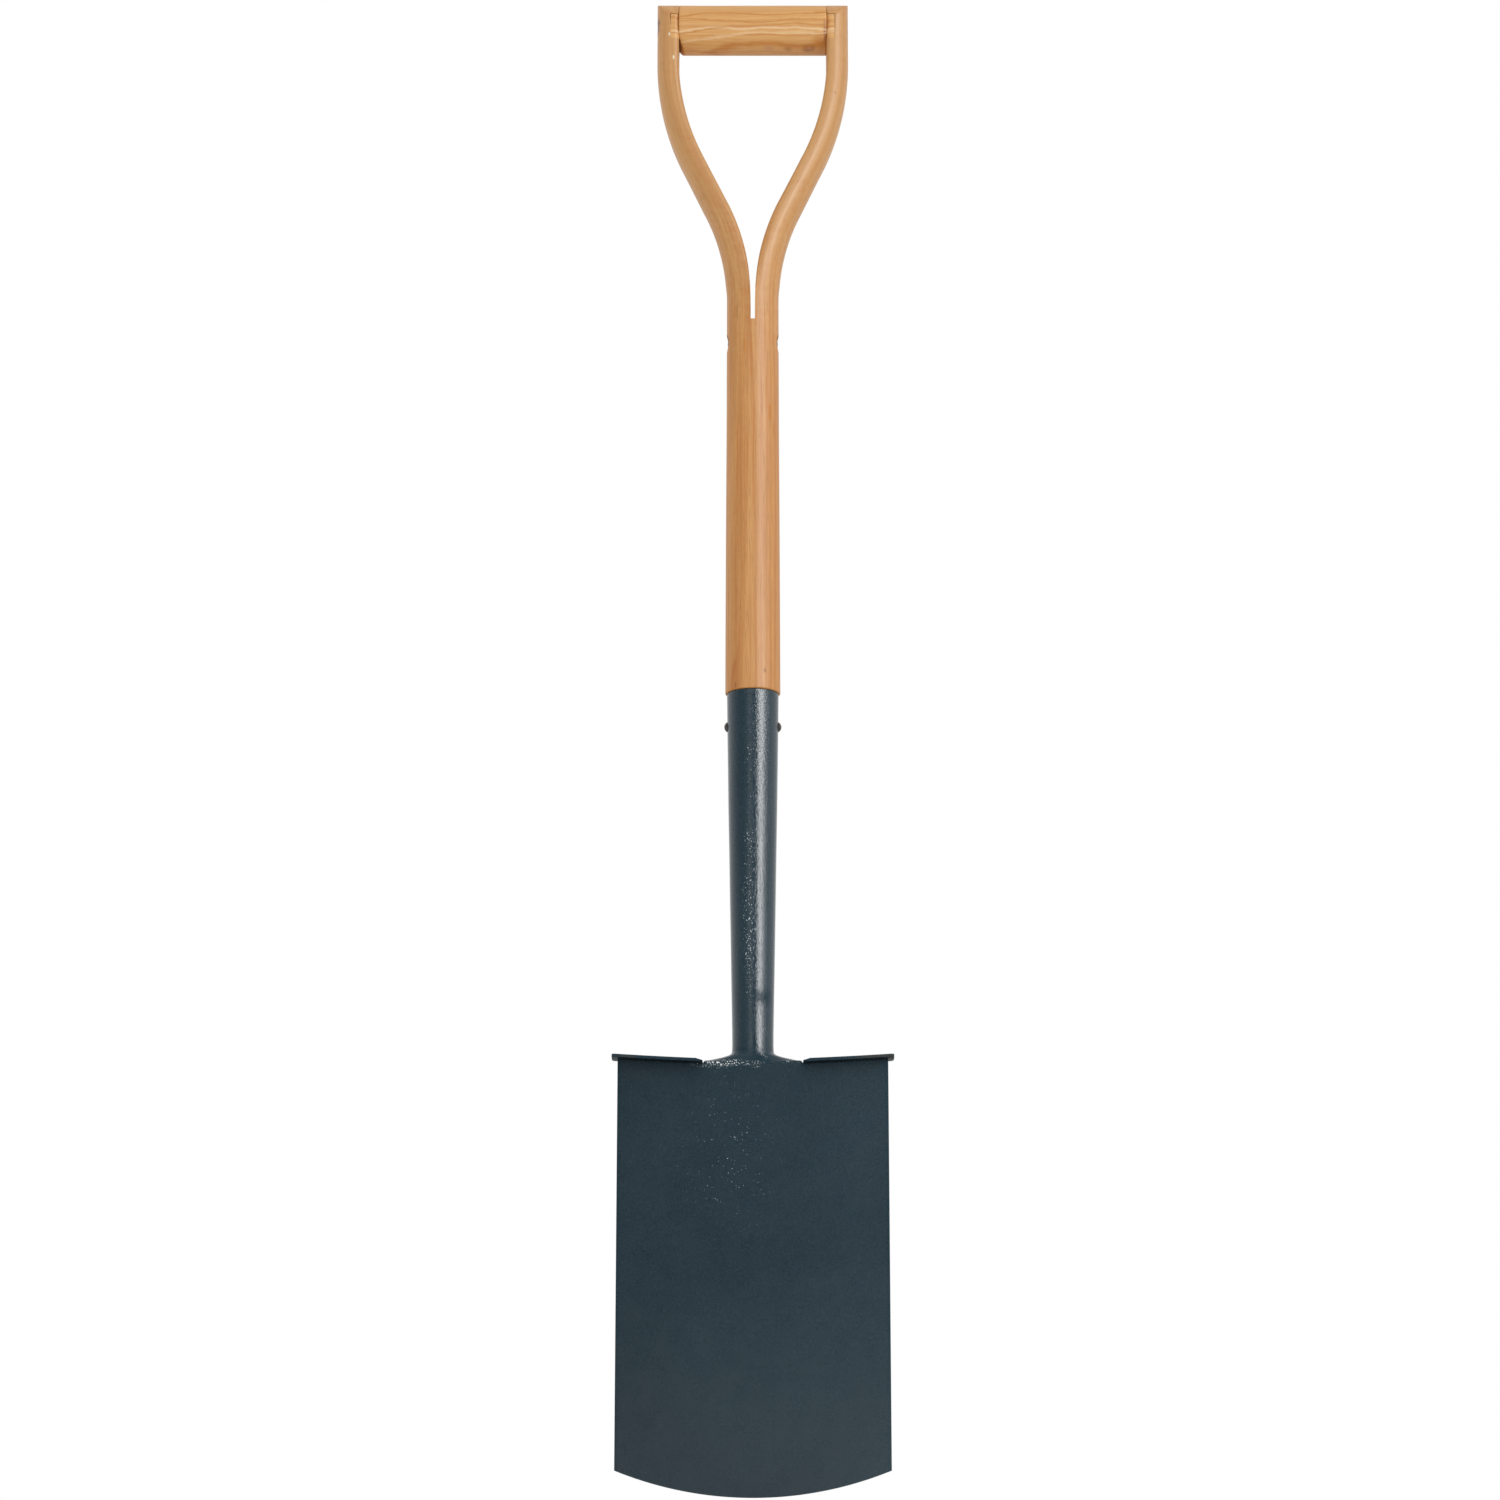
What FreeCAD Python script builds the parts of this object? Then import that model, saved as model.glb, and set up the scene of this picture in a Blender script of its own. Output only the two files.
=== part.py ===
import FreeCAD, Part
import math
import os

os.makedirs("parts", exist_ok=True)
V = FreeCAD.Vector

# Garden spade, millimetres. +Z runs from the cutting edge up to the grip,
# -Y is the concave working face, and X is the width.
# The origin is the lowest point of the cutting edge, at mid width.

# Blade
BLADE_HALF_WIDTH = 93.1
BLADE_THICKNESS = 2.0
BLADE_TOP_Z = 298.9
BLADE_CORNER_Z = 17.8
BLADE_LEAN = math.tan(math.radians(2.0))
DISH_BOTTOM = 4.0
DISH_TOP = 9.0
BEVEL_HEIGHT = 6.0
BEVEL_DEPTH = 1.3
SHOULDER_RISE = 9.0
SHOULDER_X = 33.9
SEAT_X = 34.5
NECK_HALF_WIDTH = 14.2
# Right shoulder up to the neck: distance from mid width, rise above the blade's top
NECK_FLARE = [(29.5, 1.1), (25.3, 2.5), (20.7, 4.0), (16.7, 5.5), (14.6, 7.2)]

# Treads
TREAD_THICKNESS = 2.4
TREAD_INNER_X = 34.6
TREAD_OUTER_X = 97.0
TREAD_INNER_TOP_Z = 298.9
TREAD_OUTER_TOP_Z = 300.6
TREAD_FRONT = 9.5
TREAD_BACK = 5.5
TREAD_CHAMFER = 4.8
TREAD_TIP = 1.0
TREAD_EDGE_RADIUS = 1.0
TREAD_CORNER_RADIUS = 2.5
TREAD_WELD_MARGIN = 4.0
TREAD_WELD_LEG = 2.6

# Socket
AXIS_Y = 24.0
SOCKET_WALL = 1.8
NECK_Z = 307.9
NECK_RADIUS = 14.2
ROUND_Z = 323.0
SOCKET_MID_Z = 488.0
SOCKET_MID_RADIUS = 17.3
MOUTH_Z = 564.2
MOUTH_RADIUS = 18.35
BORE_BOTTOM_Z = 332.0
SEAM_RADIUS = 1.5

# Ash handle
WOOD_CLEARANCE = 0.05
SPIGOT_BOTTOM_Z = 373.0
SHAFT_LIP = 0.6
SHAFT_MOUTH_RADIUS = 19.5
SHAFT_CROTCH_RADIUS = 18.7
CROTCH_Z = 840.1
KERF = 3.0
ARM_BASE_X = 10.5
ARM_TOP_X = 62.2
ARM_START_Z = 859.8
ARM_LOWER_RADIUS = 157.0
ARM_UPPER_RADIUS = 183.0
ARM_ANGLE = math.radians(25.84)
ARM_TOP_THICKNESS = 16.0
ARM_TAPER_START_Z = 895.0
ARM_TAPER_LENGTH = 60.0
ARM_TOP_HALF_DEPTH = 17.2
ARM_INNER_ROUND_LOW = 1.2
ARM_INNER_ROUND_HIGH = 4.0
ARM_TOP_SQUARENESS = 0.72

# Crossbar and its steel rod
CROSSBAR_Z = 1072.1
CROSSBAR_RADIUS = 18.3
CROSSBAR_HALF_LENGTH = 54.2
CROSSBAR_EDGE = 0.5
# The left shoulder is pared away below, from this depth under the axis to the underside
PARED_FROM = 8.0
PARED_LENGTH = 4.2
TONGUE_LENGTH = 6.0
TONGUE_TOP = 5.7
TONGUE_BOTTOM = -13.3
ARM_TOP_Z = CROSSBAR_Z + CROSSBAR_RADIUS
ROD_RADIUS = 2.5
ROD_HEAD_RADIUS = 4.0
ROD_HEAD_HEIGHT = 2.2
ROD_WASHER_RADIUS = 4.6
ROD_WASHER_THICKNESS = 0.8
ROD_SEAT_X = 66.9
COUNTERBORE_RADIUS = 4.8

# Rivet through the shaft under the split
SPLIT_RIVET_Z = 826.7
SPLIT_RIVET_RADIUS = 2.2
SPLIT_RIVET_HEAD_RADIUS = 4.6
SPLIT_RIVET_HEAD_HEIGHT = 1.5
SPLIT_WASHER_RADIUS = 6.0
SPLIT_WASHER_THICKNESS = 0.8
SPLIT_SEAT_X = 16.6
DIMPLE_RADIUS = 7.0

# Rivet through the socket
SOCKET_RIVET_Z = 540.3
SOCKET_RIVET_RADIUS = 2.4
SOCKET_RIVET_HEAD_RADIUS = 3.8
SOCKET_RIVET_HEAD_HEIGHT = 2.6

SECTION_POINTS = 24
# Half size of blocks that reach right through the spade from front to back
REACH = 60.0

# Tongue behind the blade: depth below the blade's top, half width, centre behind the
# blade's face, reach forward, reach back, and how fast the back falls to the sides
TONGUE_SECTIONS = [
    (78.3, 8.0, 2.6, 1.5, 1.6, 1.0),
    (74.3, 14.0, 2.6, 1.7, 2.1, 1.0),
    (67.3, 18.0, 2.6, 1.9, 2.8, 1.0),
    (57.3, 20.5, 2.6, 2.0, 4.0, 1.1),
    (45.3, 21.3, 2.8, 2.2, 6.4, 1.2),
    (33.3, 20.6, 3.4, 2.8, 10.0, 1.2),
    (21.3, 19.0, 5.2, 4.4, 14.2, 1.15),
    (9.3, 16.8, 8.5, 8.4, 16.0, 1.05),
    (-0.7, 15.0, 12.2, 11.6, 14.6, 1.0),
]


def lerp(a, b, t):
    return a + (b - a) * t


def save(shape, node):
    shape.exportStep("parts/" + node + ".step")


def mirror_x(shape):
    return shape.mirror(V(0, 0, 0), V(1, 0, 0))


def closed_curve(points):
    curve = Part.BSplineCurve()
    curve.interpolate(Points=points, PeriodicFlag=True)
    return Part.Wire(curve.toShape())


def signed_power(value, power):
    return math.copysign(abs(value) ** power, value)


def spine_y(z):
    """Front face of the blade at mid width."""
    return z * BLADE_LEAN


def dish(z):
    """How far the blade's sides stand in front of its middle."""
    return lerp(DISH_BOTTOM, DISH_TOP, z / BLADE_TOP_Z)


def dish_radius(z):
    depth = dish(z)
    return (BLADE_HALF_WIDTH ** 2 + depth ** 2) / (2 * depth)


def arc_y(x, z, offset):
    """Y of the dished surface that lies offset behind the front face."""
    radius = dish_radius(z) + offset
    centre = spine_y(z) - dish_radius(z)
    return centre + math.sqrt(radius ** 2 - x ** 2)


def dish_arc(z, half, offset, reverse):
    ends = [-half, half]
    if reverse:
        ends = [half, -half]
    first = V(ends[0], arc_y(ends[0], z, offset), z)
    last = V(ends[1], arc_y(ends[1], z, offset), z)
    middle = V(0, arc_y(0, z, offset), z)
    return Part.Arc(first, middle, last).toShape()


def dish_band(z, half, front, back):
    """Closed section of a sheet that follows the dish at one height."""
    front_arc = dish_arc(z, half, front, False)
    back_arc = dish_arc(z, half, back, True)
    side_a = Part.makeLine(V(half, arc_y(half, z, front), z), V(half, arc_y(half, z, back), z))
    side_b = Part.makeLine(V(-half, arc_y(half, z, back), z), V(-half, arc_y(half, z, front), z))
    return Part.Wire([front_arc, side_a, back_arc, side_b])


def tread_line_z(x, top):
    """Height of the tread's top or underside above x."""
    t = (abs(x) - TREAD_INNER_X) / (TREAD_OUTER_X - TREAD_INNER_X)
    z = lerp(TREAD_INNER_TOP_Z, TREAD_OUTER_TOP_Z, t)
    return z if top else z - TREAD_THICKNESS


def mirrored(points):
    return [V(-p.x, p.y, p.z) for p in reversed(points)]


def polyline_edges(points):
    return [Part.makeLine(a, b) for a, b in zip(points, points[1:])]


def smooth_edge(points):
    curve = Part.BSplineCurve()
    curve.interpolate(points)
    return curve.toShape()


def blade_outline():
    """Flat outline of the blade, with the shoulders rising to the neck."""
    half = BLADE_HALF_WIDTH
    side = [V(half, 0, BLADE_CORNER_Z), V(half, 0, tread_line_z(half, False))]
    side.append(V(SEAT_X, 0, tread_line_z(SEAT_X, False)))
    side.append(V(SHOULDER_X, 0, BLADE_TOP_Z))
    flare = [side[-1]] + [V(x, 0, BLADE_TOP_Z + up) for x, up in NECK_FLARE]
    flare.append(V(NECK_HALF_WIDTH, 0, BLADE_TOP_Z + SHOULDER_RISE))
    left_flare = mirrored(flare)
    left_side = mirrored(side)
    edges = polyline_edges(side)
    edges.append(smooth_edge(flare))
    edges.append(Part.makeLine(flare[-1], left_flare[0]))
    edges.append(smooth_edge(left_flare))
    edges.extend(polyline_edges(left_side))
    edges.append(Part.Arc(left_side[-1], V(0, 0, 0), side[0]).toShape())
    return Part.Wire(edges)


def make_blade():
    low = -6.0
    high = BLADE_TOP_Z + SHOULDER_RISE + 4.0
    bands = []
    for k in range(6):
        z = lerp(low, high, k / 5)
        bands.append(dish_band(z, BLADE_HALF_WIDTH + 5, 0, BLADE_THICKNESS))
    sheet = Part.makeLoft(bands, True, False)
    cutter = Part.Face(blade_outline())
    cutter.translate(V(0, -REACH, 0))
    plate = sheet.common(cutter.extrude(V(0, 2 * REACH, 0)))
    edge = [e for e in plate.Edges if is_cutting_edge(e)]
    return plate.makeChamfer(BEVEL_DEPTH, BEVEL_HEIGHT, edge)


def is_cutting_edge(edge):
    """True for the bottom edge on the back face, where the bevel is ground."""
    box = edge.BoundBox
    wide = box.XLength > 1.8 * BLADE_HALF_WIDTH
    low = box.ZMax < BLADE_CORNER_Z + 1
    behind = box.YMax > spine_y(0) + BLADE_THICKNESS / 2
    return wide and low and behind


def make_tread():
    """Right-hand tread: a flat strip that follows the dish along the top edge."""
    z = BLADE_TOP_Z - REACH / 2
    band = Part.Face(dish_band(BLADE_TOP_Z, TREAD_OUTER_X, -TREAD_FRONT, BLADE_THICKNESS + TREAD_BACK))
    band.translate(V(0, 0, z - BLADE_TOP_Z))
    column = band.extrude(V(0, 0, REACH))
    inner_top = TREAD_INNER_X + TREAD_CHAMFER
    tip_z = tread_line_z(TREAD_INNER_X, False) + TREAD_TIP
    profile = [V(TREAD_INNER_X, -REACH, tread_line_z(TREAD_INNER_X, False))]
    profile.append(V(TREAD_OUTER_X, -REACH, tread_line_z(TREAD_OUTER_X, False)))
    profile.append(V(TREAD_OUTER_X, -REACH, tread_line_z(TREAD_OUTER_X, True)))
    profile.append(V(inner_top, -REACH, tread_line_z(inner_top, True)))
    profile.append(V(TREAD_INNER_X, -REACH, tip_z))
    profile.append(profile[0])
    slab = Part.Face(Part.makePolygon(profile)).extrude(V(0, 2 * REACH, 0))
    strip = column.common(slab)
    upright = [e for e in strip.Edges if is_outer_corner(e)]
    strip = strip.makeFillet(TREAD_CORNER_RADIUS, upright)
    front_top = [e for e in strip.Edges if is_tread_front_top(e)]
    return strip.makeFillet(TREAD_EDGE_RADIUS, front_top)


def is_outer_corner(edge):
    box = edge.BoundBox
    return box.XMin > TREAD_OUTER_X - 0.1 and box.YLength < 0.1 and box.ZLength > 1


def is_tread_front_top(edge):
    """True for the long upper front edge of the strip."""
    box = edge.BoundBox
    long_enough = box.XLength > 40
    high = box.ZMin > TREAD_INNER_TOP_Z - 0.3
    middle_y = (box.YMin + box.YMax) / 2
    return long_enough and high and middle_y < arc_y(70, BLADE_TOP_Z, -TREAD_FRONT / 2)


def make_tread_weld():
    """Fillet bead under the tread along the blade's back face."""
    overlap = 0.5
    bands = []
    for t in [0, 0.35, 0.7, 1]:
        width = TREAD_WELD_LEG * (1 - t * t) + overlap / 2
        z = BLADE_TOP_Z - overlap - TREAD_WELD_LEG * t
        bands.append(dish_band(z, TREAD_OUTER_X, BLADE_THICKNESS - overlap, BLADE_THICKNESS + width))
    bead = Part.makeLoft(bands, True, False)
    start_x = TREAD_INNER_X + TREAD_WELD_MARGIN
    length = BLADE_HALF_WIDTH - TREAD_WELD_MARGIN - start_x
    clip = Part.makeBox(length, REACH, 20, V(start_x, -REACH / 2, BLADE_TOP_Z - 12))
    return bead.common(clip)


def socket_radius(z):
    """Outer radius of the round part of the socket."""
    if z < SOCKET_MID_Z:
        return lerp(NECK_RADIUS, SOCKET_MID_RADIUS, (z - NECK_Z) / (SOCKET_MID_Z - NECK_Z))
    return lerp(SOCKET_MID_RADIUS, MOUTH_RADIUS, (z - SOCKET_MID_Z) / (MOUTH_Z - SOCKET_MID_Z))


def tongue_section(z, half_width, centre_y, front, back, back_power):
    """Closed section: a rounded front half and a back half that can thin to a wing."""
    points = []
    for i in range(SECTION_POINTS):
        a = 2 * math.pi * i / SECTION_POINTS
        s = math.sin(a)
        y = back * signed_power(s, back_power) if s > 0 else front * s
        points.append(V(half_width * math.cos(a), centre_y + y, z))
    return closed_curve(points)


def make_socket_body():
    """Round tapered tube above, flattening into a tongue behind the blade below."""
    sections = []
    for drop, half_width, centre, front, back, power in TONGUE_SECTIONS:
        z = BLADE_TOP_Z - drop
        sections.append(tongue_section(z, half_width, spine_y(z) + centre, front, back, power))
    for z in [NECK_Z, (NECK_Z + ROUND_Z) / 2, ROUND_Z]:
        sections.append(round_section(z))
    tongue = Part.makeLoft(sections, True, False)
    middle = round_section(SOCKET_MID_Z)
    lower = Part.makeLoft([sections[-1], middle], True, True)
    upper = Part.makeLoft([middle, round_section(MOUTH_Z)], True, True)
    return lower.fuse([upper, tongue])


def round_section(z):
    radius = socket_radius(z)
    return tongue_section(z, radius, AXIS_Y, radius, radius, 1.0)


def bore_cone(low_z, high_z, low_r, high_r):
    cone = Part.makeCone(low_r, high_r, high_z - low_z)
    cone.translate(V(0, AXIS_Y, low_z))
    return cone


def socket_bore():
    mid_r = SOCKET_MID_RADIUS - SOCKET_WALL
    low = bore_cone(BORE_BOTTOM_Z, SOCKET_MID_Z, socket_radius(BORE_BOTTOM_Z) - SOCKET_WALL, mid_r)
    high = bore_cone(SOCKET_MID_Z, MOUTH_Z, mid_r, MOUTH_RADIUS - SOCKET_WALL)
    return low.fuse(high)


def make_socket(blade, rivet):
    body = make_socket_body().cut(blade).cut(socket_bore())
    return body.cut(rivet)


def make_seam_weld(socket_solid):
    """Raised bead up the back of the rolled socket, tapered at both ends."""
    low = ROUND_Z + 4
    high = MOUTH_Z - 4
    levels = [(low - 3, 0.5), (low, 1.0), (SOCKET_MID_Z, 1.0), (high, 1.0), (high + 3, 0.5)]
    wires = []
    for z, share in levels:
        centre = V(0, AXIS_Y + socket_radius(z), z)
        wires.append(Part.Wire(Part.makeCircle(SEAM_RADIUS * share, centre, V(0, 0, 1))))
    bead = Part.makeLoft(wires, True, True)
    return largest_solid(bead.cut(socket_solid).cut(socket_bore()))


def largest_solid(shape):
    return max(shape.Solids, key=lambda solid: solid.Volume)


def make_neck_weld(blade, socket_solid):
    """Front bead where the shoulders' top edge meets the round neck."""
    half = NECK_HALF_WIDTH - 2.5
    z = BLADE_TOP_Z + SHOULDER_RISE + 0.4
    bead = Part.makeCylinder(1.5, 2 * half, V(-half, spine_y(z) + 1.0, z), V(1, 0, 0))
    ends = [Part.makeSphere(1.5, V(side * half, spine_y(z) + 1.0, z)) for side in (-1, 1)]
    return largest_solid(bead.fuse(ends).cut(blade).cut(socket_solid))


def arm_centre(z):
    """Centre line of an arm: upright, bowed out, straight, then upright again."""
    angle = ARM_ANGLE
    lower_rise = ARM_LOWER_RADIUS * math.sin(angle)
    lower_run = ARM_LOWER_RADIUS * (1 - math.cos(angle))
    upper_rise = ARM_UPPER_RADIUS * math.sin(angle)
    upper_run = ARM_UPPER_RADIUS * (1 - math.cos(angle))
    straight_run = ARM_TOP_X - ARM_BASE_X - lower_run - upper_run
    straight_rise = straight_run / math.tan(angle)
    end_z = ARM_START_Z + lower_rise + straight_rise + upper_rise
    if z <= ARM_START_Z:
        return ARM_BASE_X, 0.0
    if z <= ARM_START_Z + lower_rise:
        turn = math.asin((z - ARM_START_Z) / ARM_LOWER_RADIUS)
        return ARM_BASE_X + ARM_LOWER_RADIUS * (1 - math.cos(turn)), turn
    if z <= end_z - upper_rise:
        run = (z - ARM_START_Z - lower_rise) * math.tan(angle)
        return ARM_BASE_X + lower_run + run, angle
    if z < end_z:
        turn = math.asin((end_z - z) / ARM_UPPER_RADIUS)
        return ARM_TOP_X - ARM_UPPER_RADIUS * (1 - math.cos(turn)), turn
    return ARM_TOP_X, 0.0


def arm_thickness(z):
    base = SHAFT_CROTCH_RADIUS - KERF / 2
    taper = min(1.0, max(0.0, (z - ARM_TAPER_START_Z) / ARM_TAPER_LENGTH))
    return lerp(base, ARM_TOP_THICKNESS, taper)


def arm_section(z):
    """Level section of the right arm: flat towards the middle, round outside."""
    centre, turn = arm_centre(z)
    half = arm_thickness(z) / 2 / math.cos(turn)
    t = min(1.0, max(0.0, (z - CROTCH_Z) / (ARM_TOP_Z - CROTCH_Z)))
    depth = lerp(SHAFT_CROTCH_RADIUS, ARM_TOP_HALF_DEPTH, t ** 0.8)
    inner_side = lerp(ARM_INNER_ROUND_LOW, ARM_INNER_ROUND_HIGH, min(1.0, t * 4))
    squareness = lerp(1.0, ARM_TOP_SQUARENESS, t)
    root_x = centre - half + inner_side
    points = []
    for i in range(SECTION_POINTS):
        a = 2 * math.pi * i / SECTION_POINTS
        s = math.sin(a)
        c = math.cos(a)
        if s >= 0:
            x = (2 * half - inner_side) * signed_power(s, squareness)
            y = depth * signed_power(c, squareness)
        else:
            x = inner_side * signed_power(s, 0.6)
            y = depth * signed_power(c, lerp(0.9, ARM_TOP_SQUARENESS, t))
        points.append(V(root_x + x, AXIS_Y + y, z))
    return closed_curve(points)


def make_arm():
    """Right arm, its end rounded over in line with the crossbar."""
    count = 17
    low = CROTCH_Z - 5
    wires = [arm_section(lerp(low, ARM_TOP_Z + 3, k / (count - 1))) for k in range(count)]
    arm = Part.makeLoft(wires, True, False)
    outer_x = ARM_TOP_X + ARM_TOP_THICKNESS / 2
    trim_corner = V(0, AXIS_Y - REACH / 2, low)
    trim = Part.makeBox(outer_x, REACH, CROSSBAR_Z - low, trim_corner)
    barrel = Part.makeCylinder(CROSSBAR_RADIUS, outer_x, V(0, AXIS_Y, CROSSBAR_Z), V(1, 0, 0))
    return arm.common(trim.fuse(barrel))


def make_shaft_body(arm):
    shaft = bore_cone(MOUTH_Z + 1.0, CROTCH_Z + 4, SHAFT_MOUTH_RADIUS, SHAFT_CROTCH_RADIUS)
    lip = bore_cone(MOUTH_Z, MOUTH_Z + 1.0, SHAFT_MOUTH_RADIUS - SHAFT_LIP, SHAFT_MOUTH_RADIUS)
    gap = SOCKET_WALL + WOOD_CLEARANCE
    mid_r = SOCKET_MID_RADIUS - gap
    low_r = socket_radius(SPIGOT_BOTTOM_Z) - gap
    spigot_low = bore_cone(SPIGOT_BOTTOM_Z, SOCKET_MID_Z, low_r, mid_r)
    spigot_high = bore_cone(SOCKET_MID_Z, MOUTH_Z, mid_r, MOUTH_RADIUS - gap)
    slot = Part.makeBox(KERF, REACH, 30, V(-KERF / 2, AXIS_Y - REACH / 2, CROTCH_Z))
    joined = shaft.fuse([lip, spigot_low, spigot_high, arm, mirror_x(arm)])
    return joined.cut(slot).removeSplitter()


def x_cylinder(radius, half_length, z):
    return Part.makeCylinder(radius, 2 * half_length, V(-half_length, AXIS_Y, z), V(1, 0, 0))


def tongue_block():
    """Block that holds the right tongue, deeper than the arm it is let into."""
    corner = V(CROSSBAR_HALF_LENGTH, AXIS_Y - REACH / 2, CROSSBAR_Z + TONGUE_BOTTOM)
    return Part.makeBox(TONGUE_LENGTH, REACH, TONGUE_TOP - TONGUE_BOTTOM, corner)


def pared_shoulder():
    """Wedge taken off the underside of the bar's left end, beside the arm."""
    end = -CROSSBAR_HALF_LENGTH
    slope = PARED_LENGTH / (CROSSBAR_RADIUS - PARED_FROM)
    start_z = CROSSBAR_Z - PARED_FROM
    drop = CROSSBAR_RADIUS
    profile = [V(end, 0, start_z), V(end + slope * drop, 0, start_z - drop)]
    profile.append(V(end - 1, 0, start_z - drop))
    profile.append(V(end - 1, 0, start_z))
    profile.append(profile[0])
    wedge = Part.Face(Part.makePolygon(profile)).extrude(V(0, REACH, 0))
    wedge.translate(V(0, AXIS_Y - REACH / 2, 0))
    return wedge


def make_crossbar_blank(arm):
    """Round bar with a flat-sided tongue let into each arm, flush with its face."""
    bar = x_cylinder(CROSSBAR_RADIUS, CROSSBAR_HALF_LENGTH, CROSSBAR_Z)
    rims = [e for e in bar.Edges if e.BoundBox.XLength < 0.1]
    bar = bar.makeChamfer(CROSSBAR_EDGE, rims).cut(pared_shoulder())
    tongue = largest_solid(tongue_block().common(arm))
    return bar.fuse([tongue, mirror_x(tongue)])


def crossbar_pocket():
    """Room cut in the arms for the bar and its tongues."""
    bar = x_cylinder(CROSSBAR_RADIUS + 2, CROSSBAR_HALF_LENGTH, CROSSBAR_Z)
    block = tongue_block()
    return bar.fuse([block, mirror_x(block)])


def dome_head(radius, height, seat_x, z):
    """Low domed head standing on the plane x = seat_x."""
    sphere_r = (radius ** 2 + height ** 2) / (2 * height)
    sphere = Part.makeSphere(sphere_r, V(seat_x + height - sphere_r, AXIS_Y, z))
    clip = Part.makeCylinder(radius + 1, height + 1, V(seat_x, AXIS_Y, z), V(1, 0, 0))
    return sphere.common(clip)


def headed_pin(shank_radius, head_radius, head_height, seat_x, z):
    shank = x_cylinder(shank_radius, seat_x, z)
    head = dome_head(head_radius, head_height, seat_x, z)
    return shank.fuse([head, mirror_x(head)]).removeSplitter()


def washer_pair(outer, inner, thickness, outer_x, z):
    """One washer at each end, both in one node."""
    start = V(outer_x - thickness, AXIS_Y, z)
    ring = Part.makeCylinder(outer, thickness, start, V(1, 0, 0))
    ring = ring.cut(Part.makeCylinder(inner, thickness, start, V(1, 0, 0)))
    return Part.makeCompound([ring, mirror_x(ring)])


def outer_recess(radius, floor_x, z):
    """Round recess sunk from the outside down to x = floor_x, on both sides."""
    hole = Part.makeCylinder(radius, REACH / 2, V(floor_x, AXIS_Y, z), V(1, 0, 0))
    return hole.fuse(mirror_x(hole))


def make_handle(arm):
    body = make_shaft_body(arm)
    rod_hole = x_cylinder(ROD_RADIUS, BLADE_HALF_WIDTH, CROSSBAR_Z)
    split_hole = x_cylinder(SPLIT_RIVET_RADIUS, REACH, SPLIT_RIVET_Z)
    socket_hole = x_cylinder(SOCKET_RIVET_RADIUS, REACH, SOCKET_RIVET_Z)
    rod_floor = ROD_SEAT_X - ROD_WASHER_THICKNESS
    split_floor = SPLIT_SEAT_X - SPLIT_WASHER_THICKNESS
    cuts = [crossbar_pocket(), rod_hole, split_hole, socket_hole]
    cuts.append(outer_recess(COUNTERBORE_RADIUS, rod_floor, CROSSBAR_Z))
    cuts.append(outer_recess(DIMPLE_RADIUS, split_floor, SPLIT_RIVET_Z))
    for tool in cuts:
        body = body.cut(tool)
    return largest_solid(body)


def main():
    blade = make_blade()
    save(blade, "blade")
    tread = make_tread()
    save(tread, "tread_right")
    save(mirror_x(tread), "tread_left")
    weld = make_tread_weld().cut(blade).cut(tread)
    weld = largest_solid(weld)
    save(weld, "tread_weld_right")
    save(mirror_x(weld), "tread_weld_left")

    socket_rivet = headed_pin(SOCKET_RIVET_RADIUS, SOCKET_RIVET_HEAD_RADIUS,
                              SOCKET_RIVET_HEAD_HEIGHT, socket_radius(SOCKET_RIVET_Z) - 0.4,
                              SOCKET_RIVET_Z)
    save(socket_rivet, "socket_rivet")
    socket_solid = make_socket(blade, socket_rivet)
    save(socket_solid, "socket")
    save(make_seam_weld(socket_solid), "socket_seam_weld")
    save(make_neck_weld(blade, socket_solid), "neck_weld")

    arm = make_arm()
    crossbar_blank = make_crossbar_blank(arm)
    save(make_handle(arm), "handle_shaft")
    save(crossbar_blank.cut(x_cylinder(ROD_RADIUS, BLADE_HALF_WIDTH, CROSSBAR_Z)), "crossbar")
    save(headed_pin(ROD_RADIUS, ROD_HEAD_RADIUS, ROD_HEAD_HEIGHT, ROD_SEAT_X, CROSSBAR_Z),
         "crossbar_rod")
    save(washer_pair(ROD_WASHER_RADIUS, ROD_RADIUS, ROD_WASHER_THICKNESS, ROD_SEAT_X, CROSSBAR_Z),
         "crossbar_rod_washers")
    save(headed_pin(SPLIT_RIVET_RADIUS, SPLIT_RIVET_HEAD_RADIUS, SPLIT_RIVET_HEAD_HEIGHT,
                    SPLIT_SEAT_X, SPLIT_RIVET_Z), "split_rivet")
    save(washer_pair(SPLIT_WASHER_RADIUS, SPLIT_RIVET_RADIUS, SPLIT_WASHER_THICKNESS,
                     SPLIT_SEAT_X, SPLIT_RIVET_Z), "split_rivet_washers")


main()
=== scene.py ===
import math

import bmesh
import bpy
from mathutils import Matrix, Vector, noise


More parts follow.
